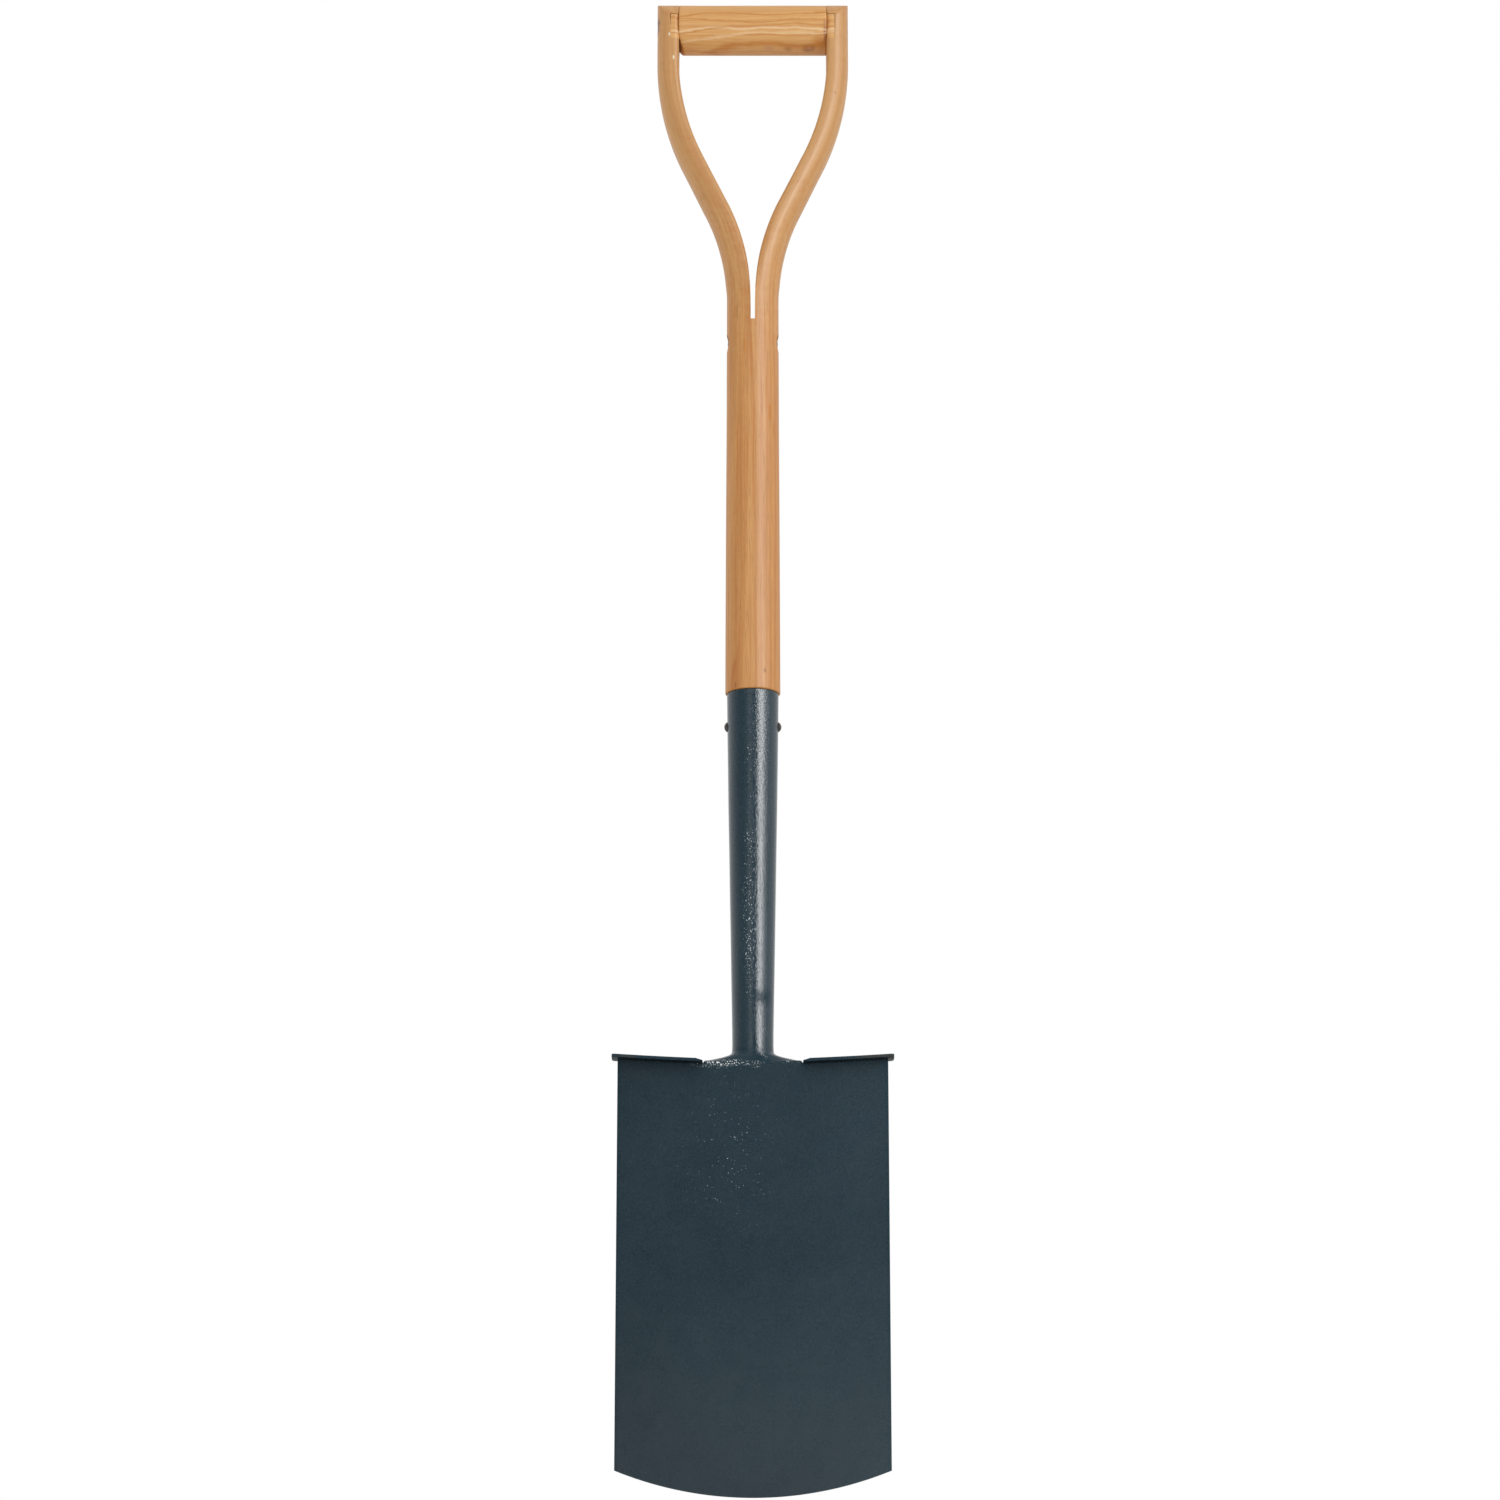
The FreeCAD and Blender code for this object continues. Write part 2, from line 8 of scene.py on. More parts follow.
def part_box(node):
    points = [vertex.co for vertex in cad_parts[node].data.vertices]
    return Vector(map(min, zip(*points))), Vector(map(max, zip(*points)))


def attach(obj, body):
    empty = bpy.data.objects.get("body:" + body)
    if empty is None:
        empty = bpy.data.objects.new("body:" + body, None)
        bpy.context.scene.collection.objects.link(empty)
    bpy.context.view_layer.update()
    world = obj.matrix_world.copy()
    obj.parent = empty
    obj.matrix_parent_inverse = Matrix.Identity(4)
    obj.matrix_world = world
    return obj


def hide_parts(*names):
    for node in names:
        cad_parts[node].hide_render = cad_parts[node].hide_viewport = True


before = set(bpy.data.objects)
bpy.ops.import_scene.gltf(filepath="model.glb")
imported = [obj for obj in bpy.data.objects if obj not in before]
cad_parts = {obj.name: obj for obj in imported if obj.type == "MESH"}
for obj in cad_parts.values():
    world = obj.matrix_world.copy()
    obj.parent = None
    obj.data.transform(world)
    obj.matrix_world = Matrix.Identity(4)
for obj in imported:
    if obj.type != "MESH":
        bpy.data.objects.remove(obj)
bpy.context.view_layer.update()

MM = 0.001

# ------------ dimensions, mm
HALF_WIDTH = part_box("blade")[1].x / MM
THICKNESS = 2.0
TOP_Z = 298.9
CORNER_Z = 17.8
EDGE_RADIUS = (HALF_WIDTH ** 2 + CORNER_Z ** 2) / (2 * CORNER_Z)
LEAN = math.tan(math.radians(2.0))
DISH_BOTTOM = 4.0
DISH_TOP = 9.0
BEVEL_HEIGHT = 6.0
BEVEL_DEPTH = 1.3
RIM_INSET = 0.45
RIPPLE = 0.12
# The blade's rows are closer together near both ends: share of the rows, height of the band
LOW_SHARE = 0.15
LOW_BAND = 9.0
HIGH_SHARE = 0.2
HIGH_BAND = 14.0

TREAD_LOW, TREAD_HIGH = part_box("tread_right")
TREAD_INNER = TREAD_LOW.x / MM
TREAD_OUTER = TREAD_HIGH.x / MM
TREAD_THICKNESS = 2.4
TREAD_TOP_OUTER = TREAD_HIGH.z / MM
TREAD_FRONT = 9.4
TREAD_BACK = 5.5
TREAD_SLOPE = 4.8
TREAD_CORNER = 2.6
EDGE_SEATED = 0.6
BEAD_END = 4.2
BEAD_LEG = 2.5
BEAD_OVERLAP = 0.4

MOUTH_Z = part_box("socket")[1].z / MM
MOUTH_RADIUS = 18.35
SOCKET_MID_Z = 488.0
SOCKET_MID_RADIUS = 17.3
NECK_Z = 307.9
NECK_RADIUS = 14.2
ROUND_Z = 323.0
WALL = 1.8
AXIS_Y = 24.0
SEAM_RADIUS = 1.5
SEAM_SUNK = 0.35

SHAFT_MOUTH_RADIUS = 19.5
SHAFT_CROTCH_RADIUS = 18.7
SHAFT_EDGE = 0.9
SPIGOT_SHOWN = 9.0
CROTCH_Z = 840.1
KERF = 3.0
ARM_BASE_X = 10.5
ARM_TOP_X = 62.2
ARM_START_Z = 859.8
LOWER_BEND = 157.0
UPPER_BEND = 183.0
ARM_ANGLE = math.radians(25.84)
ARM_TOP_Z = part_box("handle_shaft")[1].z / MM
ARM_TAPER_START_Z = 895.0
ARM_TAPER_LENGTH = 60.0
ARM_TOP_THICKNESS = 16.0
ARM_TOP_HALF_DEPTH = 17.2
ARM_CORNER = 3.2

BAR_LOW, BAR_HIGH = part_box("crossbar")
CROSSBAR_Z = (BAR_LOW.z + BAR_HIGH.z) / 2 / MM
CROSSBAR_RADIUS = (BAR_HIGH.z - BAR_LOW.z) / 2 / MM
BAR_HALF = 54.2
TONGUE_LENGTH = 6.0
TONGUE_RISE = 5.7
TONGUE_DROP = -13.3
PARED_FROM = 11.0
PARED_LENGTH = 3.6
PARED_REACH = 16.0
GLUE_LINE = 0.45
# Gap at the foot of the tongue, by side: below zero the joint line closes on the way down
FOOT_GAP = {1: 0.1, -1: -0.4}
POCKET_DEPTH = 30
ROD_FLOOR = 66.1
COUNTERBORE = 4.8
SPLIT_FLOOR = 15.8
DIMPLE = 7.0
SPLIT_RIVET_Z = 826.7


def lerp(a, b, t):
    return a + (b - a) * t


def clamp(t):
    return min(1.0, max(0.0, t))


def ease(t):
    t = clamp(t)
    return t * t * (3 - 2 * t)


def signed_power(value, power):
    return math.copysign(abs(value) ** power, value)


# ------------ mesh building
def face_outwards(bm):
    bm.normal_update()
    bmesh.ops.recalc_face_normals(bm, faces=bm.faces)
    if bm.calc_volume(signed=True) < 0:
        bmesh.ops.reverse_faces(bm, faces=bm.faces)


class Shell:
    """Collects points (in mm) and faces, then makes one mesh object."""

    def __init__(self):
        self.points = []
        self.faces = []

    def add(self, point):
        self.points.append(point)
        return len(self.points) - 1

    def grid(self, rows, wrap=False, flip=False):
        """Quads between neighbouring rows; wrap joins the ends of every row."""
        index = [[self.add(point) for point in row] for row in rows]
        count = len(rows[0])
        for below, above in zip(index, index[1:]):
            for i in range(count if wrap else count - 1):
                k = (i + 1) % count
                quad = [below[i], below[k], above[k], above[i]]
                self.faces.append(quad[::-1] if flip else quad)
        return index

    def cap(self, ring, centre):
        c = self.add(centre)
        for i, first in enumerate(ring):
            self.faces.append([first, ring[(i + 1) % len(ring)], c])

    def close(self, ring):
        """Cap a ring at the middle of its points."""
        points = [self.points[i] for i in ring]
        self.cap(ring, tuple(sum(p[k] for p in points) / len(points) for k in range(3)))

    def rod(self, rows):
        """Closed rings with both ends capped."""
        grid = self.grid(rows, wrap=True)
        self.close(grid[0])
        self.close(grid[-1])

    def build(self, name, material, node, sharp, weld=0.002):
        """Mesh object that stands for the CAD node; sharp in degrees, weld in mm."""
        mesh = bpy.data.meshes.new(name)
        mesh.from_pydata([[c * MM for c in p] for p in self.points], [], self.faces)
        bm = bmesh.new()
        bm.from_mesh(mesh)
        bmesh.ops.remove_doubles(bm, verts=bm.verts, dist=weld * MM)
        bmesh.ops.dissolve_degenerate(bm, edges=bm.edges, dist=1e-7)
        face_outwards(bm)
        bm.to_mesh(mesh)
        bm.free()
        mesh.shade_smooth()
        mesh.set_sharp_from_angle(angle=math.radians(sharp))
        piece = bpy.data.objects.new(name, mesh)
        bpy.context.scene.collection.objects.link(piece)
        mesh.materials.append(material)
        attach(piece, "root")
        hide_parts(node)
        return piece


# ------------ materials
class Graph:
    """Short helpers for building one node tree."""

    def __init__(self, tree):
        self.tree = tree
        tree.nodes.clear()

    def link(self, a, b):
        self.tree.links.new(a, b)

    def feed(self, socket, value):
        """Link another node's output, or set a number or a colour."""
        if isinstance(value, bpy.types.NodeSocket):
            self.link(value, socket)
        elif isinstance(value, tuple):
            socket.default_value = (*value, 1.0)
        else:
            socket.default_value = value

    def node(self, kind, **inputs):
        """New node; inputs are named with _ for each space."""
        n = self.tree.nodes.new(kind)
        for key, value in inputs.items():
            self.feed(n.inputs[key.replace("_", " ")], value)
        return n

    def math(self, op, a, b=0.0, c=0.0):
        n = self.node("ShaderNodeMath")
        n.operation = op
        for socket, value in zip(n.inputs, (a, b, c)):
            self.feed(socket, value)
        return n.outputs[0]

    def mapping(self, vector, scale, location=(0, 0, 0)):
        n = self.node("ShaderNodeMapping")
        self.link(vector, n.inputs[0])
        n.inputs["Location"].default_value = location
        n.inputs["Scale"].default_value = scale
        return n.outputs[0]

    def noise(self, vector, scale, detail=3.0, rough=0.5, distortion=0.0, colour=False):
        n = self.node("ShaderNodeTexNoise", Vector=vector, Scale=scale, Detail=detail,
                      Roughness=rough, Distortion=distortion)
        return n.outputs["Color" if colour else "Fac"]

    def ramp(self, value, stops, mode="LINEAR"):
        n = self.node("ShaderNodeValToRGB")
        n.color_ramp.interpolation = mode
        self.link(value, n.inputs[0])
        ramp = n.color_ramp
        while len(ramp.elements) < len(stops):
            ramp.elements.new(0.5)
        for element, (position, colour) in zip(ramp.elements, stops):
            element.position = position
            if not isinstance(colour, tuple):
                colour = (colour, colour, colour)
            element.color = (*colour, 1.0)
        return n.outputs[0]

    def mix(self, fac, a, b, mode="MIX"):
        n = self.node("ShaderNodeMix")
        n.data_type = "RGBA"
        n.blend_type = mode
        for key, value in ((0, fac), (6, a), (7, b)):
            self.feed(n.inputs[key], value)
        return n.outputs[2]

    def bump(self, height, distance, strength=1.0, normal=None):
        n = self.node("ShaderNodeBump", Height=height, Distance=distance, Strength=strength)
        if normal is not None:
            self.link(normal, n.inputs["Normal"])
        return n.outputs[0]

    def length(self, vector):
        n = self.node("ShaderNodeVectorMath")
        n.operation = "LENGTH"
        self.link(vector, n.inputs[0])
        return n.outputs["Value"]

    def blend(self, fac, a, b):
        """Mix two shaders."""
        n = self.node("ShaderNodeMixShader")
        for socket, value in zip(n.inputs, (fac, a, b)):
            self.link(value, socket)
        return n.outputs[0]

    def position(self):
        return self.node("ShaderNodeTexCoord").outputs["Object"]

    def spot(self, place, centre, radii):
        """Soft ellipsoid mask, centre and radii in mm, with a ragged edge."""
        rough = self.noise(self.mapping(place, (60.0, 220.0, 220.0)), 1.0, 2.0, 0.5, 0.0, True)
        scale = [1 / (r * MM) for r in radii]
        local = self.mapping(place, scale, [-c * MM * k for c, k in zip(centre, scale)])
        jitter = self.node("ShaderNodeVectorMath", Vector=local)
        self.link(rough, jitter.inputs[1])
        moved = self.mapping(jitter.outputs[0], (1, 1, 1), (-0.5, -0.5, -0.5))
        return self.ramp(self.length(moved), [(0.35, 1.0), (1.0, 0.0)])

    def trail(self, place, points, half):
        """Mask along a wavy line through (x, z) points, all in mm."""
        parts = self.node("ShaderNodeSeparateXYZ", Vector=place)
        start = points[0][0] * MM
        run = points[-1][0] * MM - start
        lowest = min(point[1] for point in points) * MM
        span = max(point[1] for point in points) * MM - lowest
        share = self.math("DIVIDE", self.math("SUBTRACT", parts.outputs["X"], start), run)
        stops = [((x * MM - start) / run, (z * MM - lowest) / span) for x, z in points]
        course = self.ramp(share, stops, "CARDINAL")
        waver = self.noise(self.mapping(place, (45.0, 150.0, 150.0)), 1.0, 3.0, 0.6)
        offset = self.math("SUBTRACT", parts.outputs["Z"], self.math("MULTIPLY", course, span))
        offset = self.math("SUBTRACT", offset, lowest)
        offset = self.math("ADD", offset, self.math("MULTIPLY_ADD", waver, 0.005, -0.0025))
        away = self.math("DIVIDE", self.math("ABSOLUTE", offset), half * MM)
        return self.ramp(away, [(0.15, 1.0), (1.0, 0.0)])


class Surface(Graph):
    """A material with one principled shader."""

    def __init__(self, name):
        self.material = bpy.data.materials.new(name)
        self.material.use_nodes = True
        super().__init__(self.material.node_tree)
        self.out = self.node("ShaderNodeOutputMaterial")
        self.shader = self.node("ShaderNodeBsdfPrincipled")
        self.link(self.shader.outputs[0], self.out.inputs[0])

    def set(self, key, value):
        self.feed(self.shader.inputs[key], value)


def painted_steel(name, hammer_scale, hammer_depth, roughness, shine=0.5, painted_reflections=(), dull=(),
                  fade=0.0, under=1.0):
    """Blue-grey enamel: a fine orange-peel skin over slow waves. painted_reflections are the places
    with painted glints (bright specks of reflected light) or, at threshold 0, a plain painted
    reflection tint; dull the places with less shine; fade the strength of a painted pale reflection
    that lightens the sheet towards the bottom, with a painted shade that darkens its left side;
    under the tone of the painted shade on the faces that look down."""
    g = Surface(name)
    p = g.position()
    broad = g.noise(p, 9.0, 4.0, 0.55)
    base = g.ramp(broad, [(0.3, (0.0195, 0.0395, 0.0540)), (0.7, (0.0265, 0.0505, 0.0680))])
    grit = g.noise(p, 900.0, 2.0, 0.6)
    base = g.mix(1.0, base, g.ramp(grit, [(0.35, 0.80), (0.68, 1.2)]), "MULTIPLY")
    # painted pale reflection that lightens the sheet towards the bottom
    if fade:
        parts = g.node("ShaderNodeSeparateXYZ", Vector=p)
        up = g.math("MULTIPLY", parts.outputs["Z"], 5.0)
        low = g.ramp(up, [(0.0, 1.0), (0.85, 0.0)], "EASE")
        base = g.mix(g.math("MULTIPLY", low, fade), base, BOTTOM_REFLECTION)
        # painted shade from side to side: darker on the left, a little lighter on the right
        across = g.math("MULTIPLY_ADD", parts.outputs["X"], 5.4, 0.5)
        shade = g.ramp(across, [(0.0, 0.84), (0.4, 1.0), (1.0, 1.09)])
        base = g.mix(1.0, base, shade, "MULTIPLY")
    specks = g.noise(p, 1000.0, 1.0, 0.5)
    # painted glints: bright specks of reflected light, or a plain painted reflection tint at
    # threshold 0
    for centre, radii, threshold, colour in painted_reflections:
        sharp = g.ramp(specks, [(threshold, 0.0), (threshold + 0.023, 1.0)])
        base = g.mix(g.math("MULTIPLY", sharp, g.spot(p, centre, radii)), base, colour)
    # painted shade on the faces that look down
    if under < 1.0:
        geometry = g.node("ShaderNodeNewGeometry").outputs["Normal"]
        facing = g.node("ShaderNodeSeparateXYZ", Vector=geometry).outputs["Z"]
        shade = g.ramp(g.math("MULTIPLY_ADD", facing, 0.5, 0.5), [(0.12, under), (0.42, 1.0)])
        base = g.mix(1.0, base, shade, "MULTIPLY")
    g.set("Base Color", base)
    wear = g.noise(p, 60.0, 5.0, 0.6)
    g.set("Roughness", g.ramp(wear, [(0.3, roughness), (0.7, roughness * 1.6)]))
    for centre, radii in dull:
        lost = g.math("MULTIPLY_ADD", g.spot(p, centre, radii), -0.75, 1.0)
        shine = g.math("MULTIPLY", lost, shine)
    g.set("Specular IOR Level", shine)
    first = g.bump(g.noise(p, 70.0, 2.0, 0.5), 0.0004, 0.25)
    hammer = g.noise(p, hammer_scale, 2.0, 0.55, 0.8)
    g.set("Normal", g.bump(hammer, hammer_depth, 0.6, first))
    return g.material


def ash_wood(name, seed, wave, pores, light, dark, figure, streaks=(), trails=()):
    """Varnished ash, whose grain coordinates run along z. figure adds the knots and stains,
    streaks the long marks placed in grain coordinates, trails the wavy grain lines of the bar
    and a wide band of painted shade along its underside."""
    g = Surface(name)
    attribute = g.node("ShaderNodeAttribute")
    attribute.attribute_name = "grain"
    raw = attribute.outputs["Vector"]
    offset = g.mapping(raw, (1, 1, 1), (seed * 0.37, seed * 0.61, seed * 0.83))
    warp = g.noise(g.mapping(offset, (34.0, 34.0, wave)), 1.0, 2.0, 0.5, 0.0, True)
    shift = g.node("ShaderNodeVectorMath")
    shift.operation = "SCALE"
    g.link(warp, shift.inputs[0])
    shift.inputs["Scale"].default_value = 0.009
    bent = g.node("ShaderNodeVectorMath")
    g.link(raw, bent.inputs[0])
    g.link(shift.outputs[0], bent.inputs[1])
    flat = g.mapping(bent.outputs[0], (1.0, 1.0, 0.02), (0.021, 0.036, 0.0))

    def along(across, length, detail, rough=0.5):
        """Noise in streaks, with its scales across and along the grain."""
        return g.noise(g.mapping(offset, (across, across, length)), 1.0, detail, rough)

    # growth rings fade in and out, and their spacing varies
    spacing = along(45.0, 1.5, 1.0)
    rings = g.math("ADD", g.math("MULTIPLY", g.length(flat), 190.0),
                   g.math("MULTIPLY", spacing, 3.0))
    saw = g.math("FRACT", rings)
    band = g.ramp(saw, [(0.0, 0.0), (0.60, 0.10), (0.88, 0.75), (0.94, 1.0), (1.0, 0.0)])
    strength = g.ramp(along(90.0, 3.5, 2.0), [(0.36, 0.15), (0.60, 1.0)])
    streak = along(420.0, 7.0, 3.0, 0.6)
    fibre = along(1500.0, 40.0, 3.0, 0.6)
    pore = g.ramp(along(1900.0, 70.0, 1.0), [(0.60, 0.0), (0.74, 1.0)])
    blotch = along(40.0, 4.0, 3.0)
    red = tuple(c * k for c, k in zip(dark, (0.95, 0.78, 0.72)))
    base = g.mix(g.ramp(blotch, [(0.38, 0.0), (0.66, 0.55)]), light, dark)
    base = g.mix(g.math("MULTIPLY", band, strength), base, red)
    base = g.mix(g.ramp(streak, [(0.42, 0.0), (0.68, 0.75)]), base, dark)
    base = g.mix(g.ramp(fibre, [(0.40, 0.0), (0.65, 0.55)]), base, dark)
    base = g.mix(g.math("MULTIPLY", pore, pores), base, PORE)
    for centre, radii, colour, amount in streaks:
        base = g.mix(g.math("MULTIPLY", g.spot(raw, centre, radii), amount), base, colour)
    place = g.position()
    for centre, radii, colour, amount in figure:
        base = g.mix(g.math("MULTIPLY", g.spot(place, centre, radii), amount), base, colour)
    for points, half, colour, amount in trails:
        faint = g.math("MULTIPLY", g.trail(place, points, half), amount)
        base = g.mix(faint, base, colour)
    g.set("Base Color", base)
    g.set("Roughness", g.ramp(streak, [(0.3, 0.38), (0.7, 0.50)]))
    g.set("Specular IOR Level", 0.23)
    g.set("Coat Weight", 0.07)
    g.set("Coat Roughness", 0.30)
    height = g.math("ADD", g.math("MULTIPLY", streak, 0.6), g.math("MULTIPLY", pore, -0.5))
    g.set("Normal", g.bump(height, 0.00016, 0.5))
    return g.material


def rivet_steel():
    g = Surface("dull_rivet_steel")
    p = g.position()
    dirt = g.noise(p, 500.0, 4.0, 0.6)
    g.set("Base Color", g.ramp(dirt, [(0.35, (0.035, 0.03, 0.028)), (0.7, (0.16, 0.14, 0.125))]))
    g.set("Metallic", 0.9)
    g.set("Roughness", g.ramp(dirt, [(0.3, 0.30), (0.7, 0.5)]))
    g.set("Normal", g.bump(g.noise(p, 1300.0, 3.0, 0.6), 0.0001, 0.6))
    return g.material


# Colour of the painted pale reflection towards the bottom of the blade
BOTTOM_REFLECTION = (0.085, 0.105, 0.115)
PALE_GLINT = (0.55, 0.62, 0.64)
SPARK_GLINT = (0.95, 1.0, 1.0)
BRIGHT_GLINT = (0.66, 0.73, 0.75)
KHAKI = (0.085, 0.078, 0.058)
# Places with painted glints (bright specks of reflected light) or a painted reflection tint, mm:
# centre, radii, threshold, colour
SHEET_GLINTS = [
    ((-16, 0, 235), (40, 60, 75), 0.745, PALE_GLINT),
    ((-17, 8, 296.8), (28, 9, 3.4), 0.585, SPARK_GLINT),
    ((22, 8, 298.5), (12, 9, 3), 0.68, PALE_GLINT),
]
# Painted warm reflection on the front of each tread
TREAD_REFLECTION_TINTS = [
    ((64, -9, 299), (44, 5, 6), 0, KHAKI),
    ((-58, -9, 299), (44, 4, 6), 0, KHAKI),
]
NECK_GLINTS = [((-16, 8, 297.5), (27, 9, 3), 0.585, SPARK_GLINT)]
TUBE_GLINTS = [
    ((-2.6, 5, 405), (5.5, 24, 76), 0.655, BRIGHT_GLINT),
    ((-1.6, 5, 505), (5, 24, 70), 0.72, BRIGHT_GLINT),
]
# Places with less shine, mm: centre, radii
SHEET_DULL = [
    ((-93, 5, 150), (3, 60, 500)),
    ((93, 5, 150), (3, 60, 500)),
]
TUBE_DULL = [((6, 12, 344), (8.5, 30, 8.5))]
NECK_DULL = [((0, 6, 296), (50, 40, 16))]
PAINT = painted_steel("blue_grey_paint", 430.0, 0.00012, 0.20, 0.28)
# Tread paint: painted shade on the undersides of the treads
PAINT_TREAD = painted_steel("blue_grey_tread_paint", 430.0, 0.00012, 0.32, 0.08,
                            painted_reflections=TREAD_REFLECTION_TINTS, under=0.30)
# Sheet paint: painted pale reflection towards the bottom, painted side shade and painted glints
PAINT_SHEET = painted_steel("blue_grey_sheet_paint", 430.0, 0.00012, 0.22,
                            painted_reflections=SHEET_GLINTS, dull=SHEET_DULL, fade=0.26)
PAINT_TUBE = painted_steel("blue_grey_tube_paint", 720.0, 0.00042, 0.055,
                           painted_reflections=TUBE_GLINTS, dull=TUBE_DULL)
PAINT_NECK = painted_steel("blue_grey_neck_paint", 720.0, 0.00030, 0.08,
                           painted_reflections=NECK_GLINTS, dull=NECK_DULL)

ASH_LIGHT = (0.66, 0.340, 0.120)
ASH_DARK = (0.50, 0.210, 0.060)
BAR_LIGHT = (0.77, 0.450, 0.175)
BAR_DARK = (0.62, 0.310, 0.100)
HEART = (0.40, 0.145, 0.045)
BROWN = (0.30, 0.115, 0.035)
STREAK = (0.49, 0.195, 0.055)
UNDERSIDE_SHADE = (0.42, 0.19, 0.115)
RUST = (0.52, 0.195, 0.038)
DARK_RUST = (0.34, 0.11, 0.03)
PORE = (0.22, 0.09, 0.03)
HONEY = (0.70, 0.50, 0.24)
KNOT = (0.50, 0.26, 0.13)
CREAM = (0.90, 0.68, 0.42)
SCUFF = (0.82, 0.74, 0.55)
STAIN = (0.10, 0.035, 0.02)
# Marks in the wood, mm: centre, radii, colour, amount. The first one lightens the arms
SHAFT_MARKS = [
    ((0, 10, 1020), (220, 120, 200), HONEY, 0.24),
    ((-9, 6, 720), (3, 16, 130), ASH_DARK, 0.5),
    ((8.5, 6, 577), (1.2, 12, 2.5), BROWN, 0.8),
    ((-61.1, 8, 1062.2), (1, 6, 2), SCUFF, 0.95),
    ((-57.9, 8, 1043.2), (1, 6, 2.4), SCUFF, 0.95),
    ((-12.3, 8, 567), (0.8, 12, 3.4), BROWN, 0.8),
    ((43, 10, 990), (1, 10, 3), BROWN, 0.7),
    ((60.3, 8, 1016), (0.9, 8, 1.5), BROWN, 0.7),
    ((-70.5, 24, CROSSBAR_Z), (4.5, 22, 8.5), STAIN, 0.95),
    ((70.5, 24, CROSSBAR_Z), (2.4, 12, 6.5), STAIN, 0.6),
]
BAR_MARKS = [
    ((49.5, 11, 1058), (7.5, 12, 6.5), RUST, 0.62),
    ((53.2, 9, 1064.5), (2, 12, 11), DARK_RUST, 0.80),
    ((-45, 12, 1053), (10, 12, 3), RUST, 0.45),
    ((11.6, 16.5, 1055), (6, 7, 1.8), KNOT, 0.50),
    ((40.6, 16.5, 1055.4), (6.5, 7, 2.4), BROWN, 0.85),
    ((41.2, 16.5, 1055.3), (3, 7, 1), KNOT, 0.95),
    ((26.4, 16.5, 1054.8), (4, 7, 1.5), BROWN, 0.50),
]
# Grain lines along the crossbar, and last a wide band of painted shade along its underside, mm: (x,
# z) points, half width, colour, amount
BAR_TRAILS = [
    ([(-54, 1064), (-30, 1066.8), (-10, 1066.2), (10, 1066.8), (35, 1066.4), (54, 1066)],
     1.2, CREAM, 0.50),
    ([(-54, 1058), (-30, 1060.4), (-10, 1062.8), (20, 1063.8), (54, 1063.6)], 1.1, CREAM, 0.40),
    ([(-54, 1075.5), (-41, 1077.2), (-23, 1078.5), (7, 1077.5), (30, 1077.9), (54, 1079.3)],
     1, RUST, 0.75),
    ([(-54, 1074), (-41, 1073.5), (1, 1070.7), (12, 1071.8), (30, 1073), (54, 1073)],
     0.9, RUST, 0.60),
    ([(-54, 1063.2), (-34, 1065.3), (-14, 1068), (2, 1068.4), (30, 1069.4), (54, 1068.8)],
     0.9, RUST, 0.60),
    ([(-54, 1049.6), (-30, 1053.4), (-16, 1056.1), (12, 1057.5), (34, 1056.2), (54, 1057.4)],
     2, RUST, 0.72),
    # painted shade along the underside of the bar
    ([(-54, 1048.5), (-20, 1051.4), (1, 1053.2), (34, 1052.8), (54, 1052.4)],
     4.5, UNDERSIDE_SHADE, 0.10),
]
# Long streaks of the shaft, like the marks but in grain coordinates, where the arms are
# straight and y is measured from the axis
SHAFT_STREAKS = [
    ((-6.5, -12, 955), (1.8, 18, 80), STREAK, 0.85),
    ((-10.5, -12, 1000), (1.5, 18, 100), STREAK, 0.60),
    ((-15, -12, 925), (1.6, 18, 70), STREAK, 0.70),
    ((5, -12, 900), (1.4, 18, 60), STREAK, 0.70),
    ((15, -12, 1000), (1.4, 18, 70), STREAK, 0.60),
    ((-3.5, -12, 1030), (1.2, 18, 60), HEART, 0.45),
    ((-13.5, -12, 1040), (1.3, 18, 55), STREAK, 0.60),
    ((-8.5, -12, 900), (1.1, 18, 55), HEART, 0.50),
    ((8, -12, 985), (1.3, 18, 75), STREAK, 0.55),
    ((11.5, -12, 1045), (1.3, 18, 50), STREAK, 0.55),
    ((-12, -12, 650), (2.2, 18, 90), STREAK, 0.55),
    ((-6, -14, 690), (1.2, 18, 110), STREAK, 0.55),
    ((-0.9, -16, 815), (0.5, 16, 32), RUST, 0.80),
    ((0.4, -16, 740), (0.6, 16, 60), RUST, 0.90),
    ((8.5, -14, 828), (0.7, 16, 34), RUST, 0.90),
    ((9.7, -14, 788), (0.8, 16, 19), RUST, 0.90),
    ((12.3, -12, 769.5), (1.5, 16, 8.5), RUST, 1),
    ((15, -12, 758), (0.8, 16, 10), RUST, 0.75),
    ((-10.9, -14, 730), (0.7, 16, 60), RUST, 0.85),
    ((-4.2, -16, 745), (0.5, 16, 45), RUST, 0.60),
    ((-6.1, -15, 822), (0.6, 16, 16), RUST, 0.70),
    ((3.5, -16, 690), (1, 18, 70), STREAK, 0.40),
]
WOOD_SHAFT = ash_wood("ash_shaft", 1.0, 5.0, 0.38, ASH_LIGHT, ASH_DARK, SHAFT_MARKS,
                      streaks=SHAFT_STREAKS)
WOOD_BAR = ash_wood("ash_crossbar", 5.0, 13.0, 0.20, BAR_LIGHT, BAR_DARK, BAR_MARKS,
                    trails=BAR_TRAILS)
RIVET = rivet_steel()


# ------------ blade
def spine_y(z):
    """Front face of the leaning sheet at mid width."""
    return z * LEAN


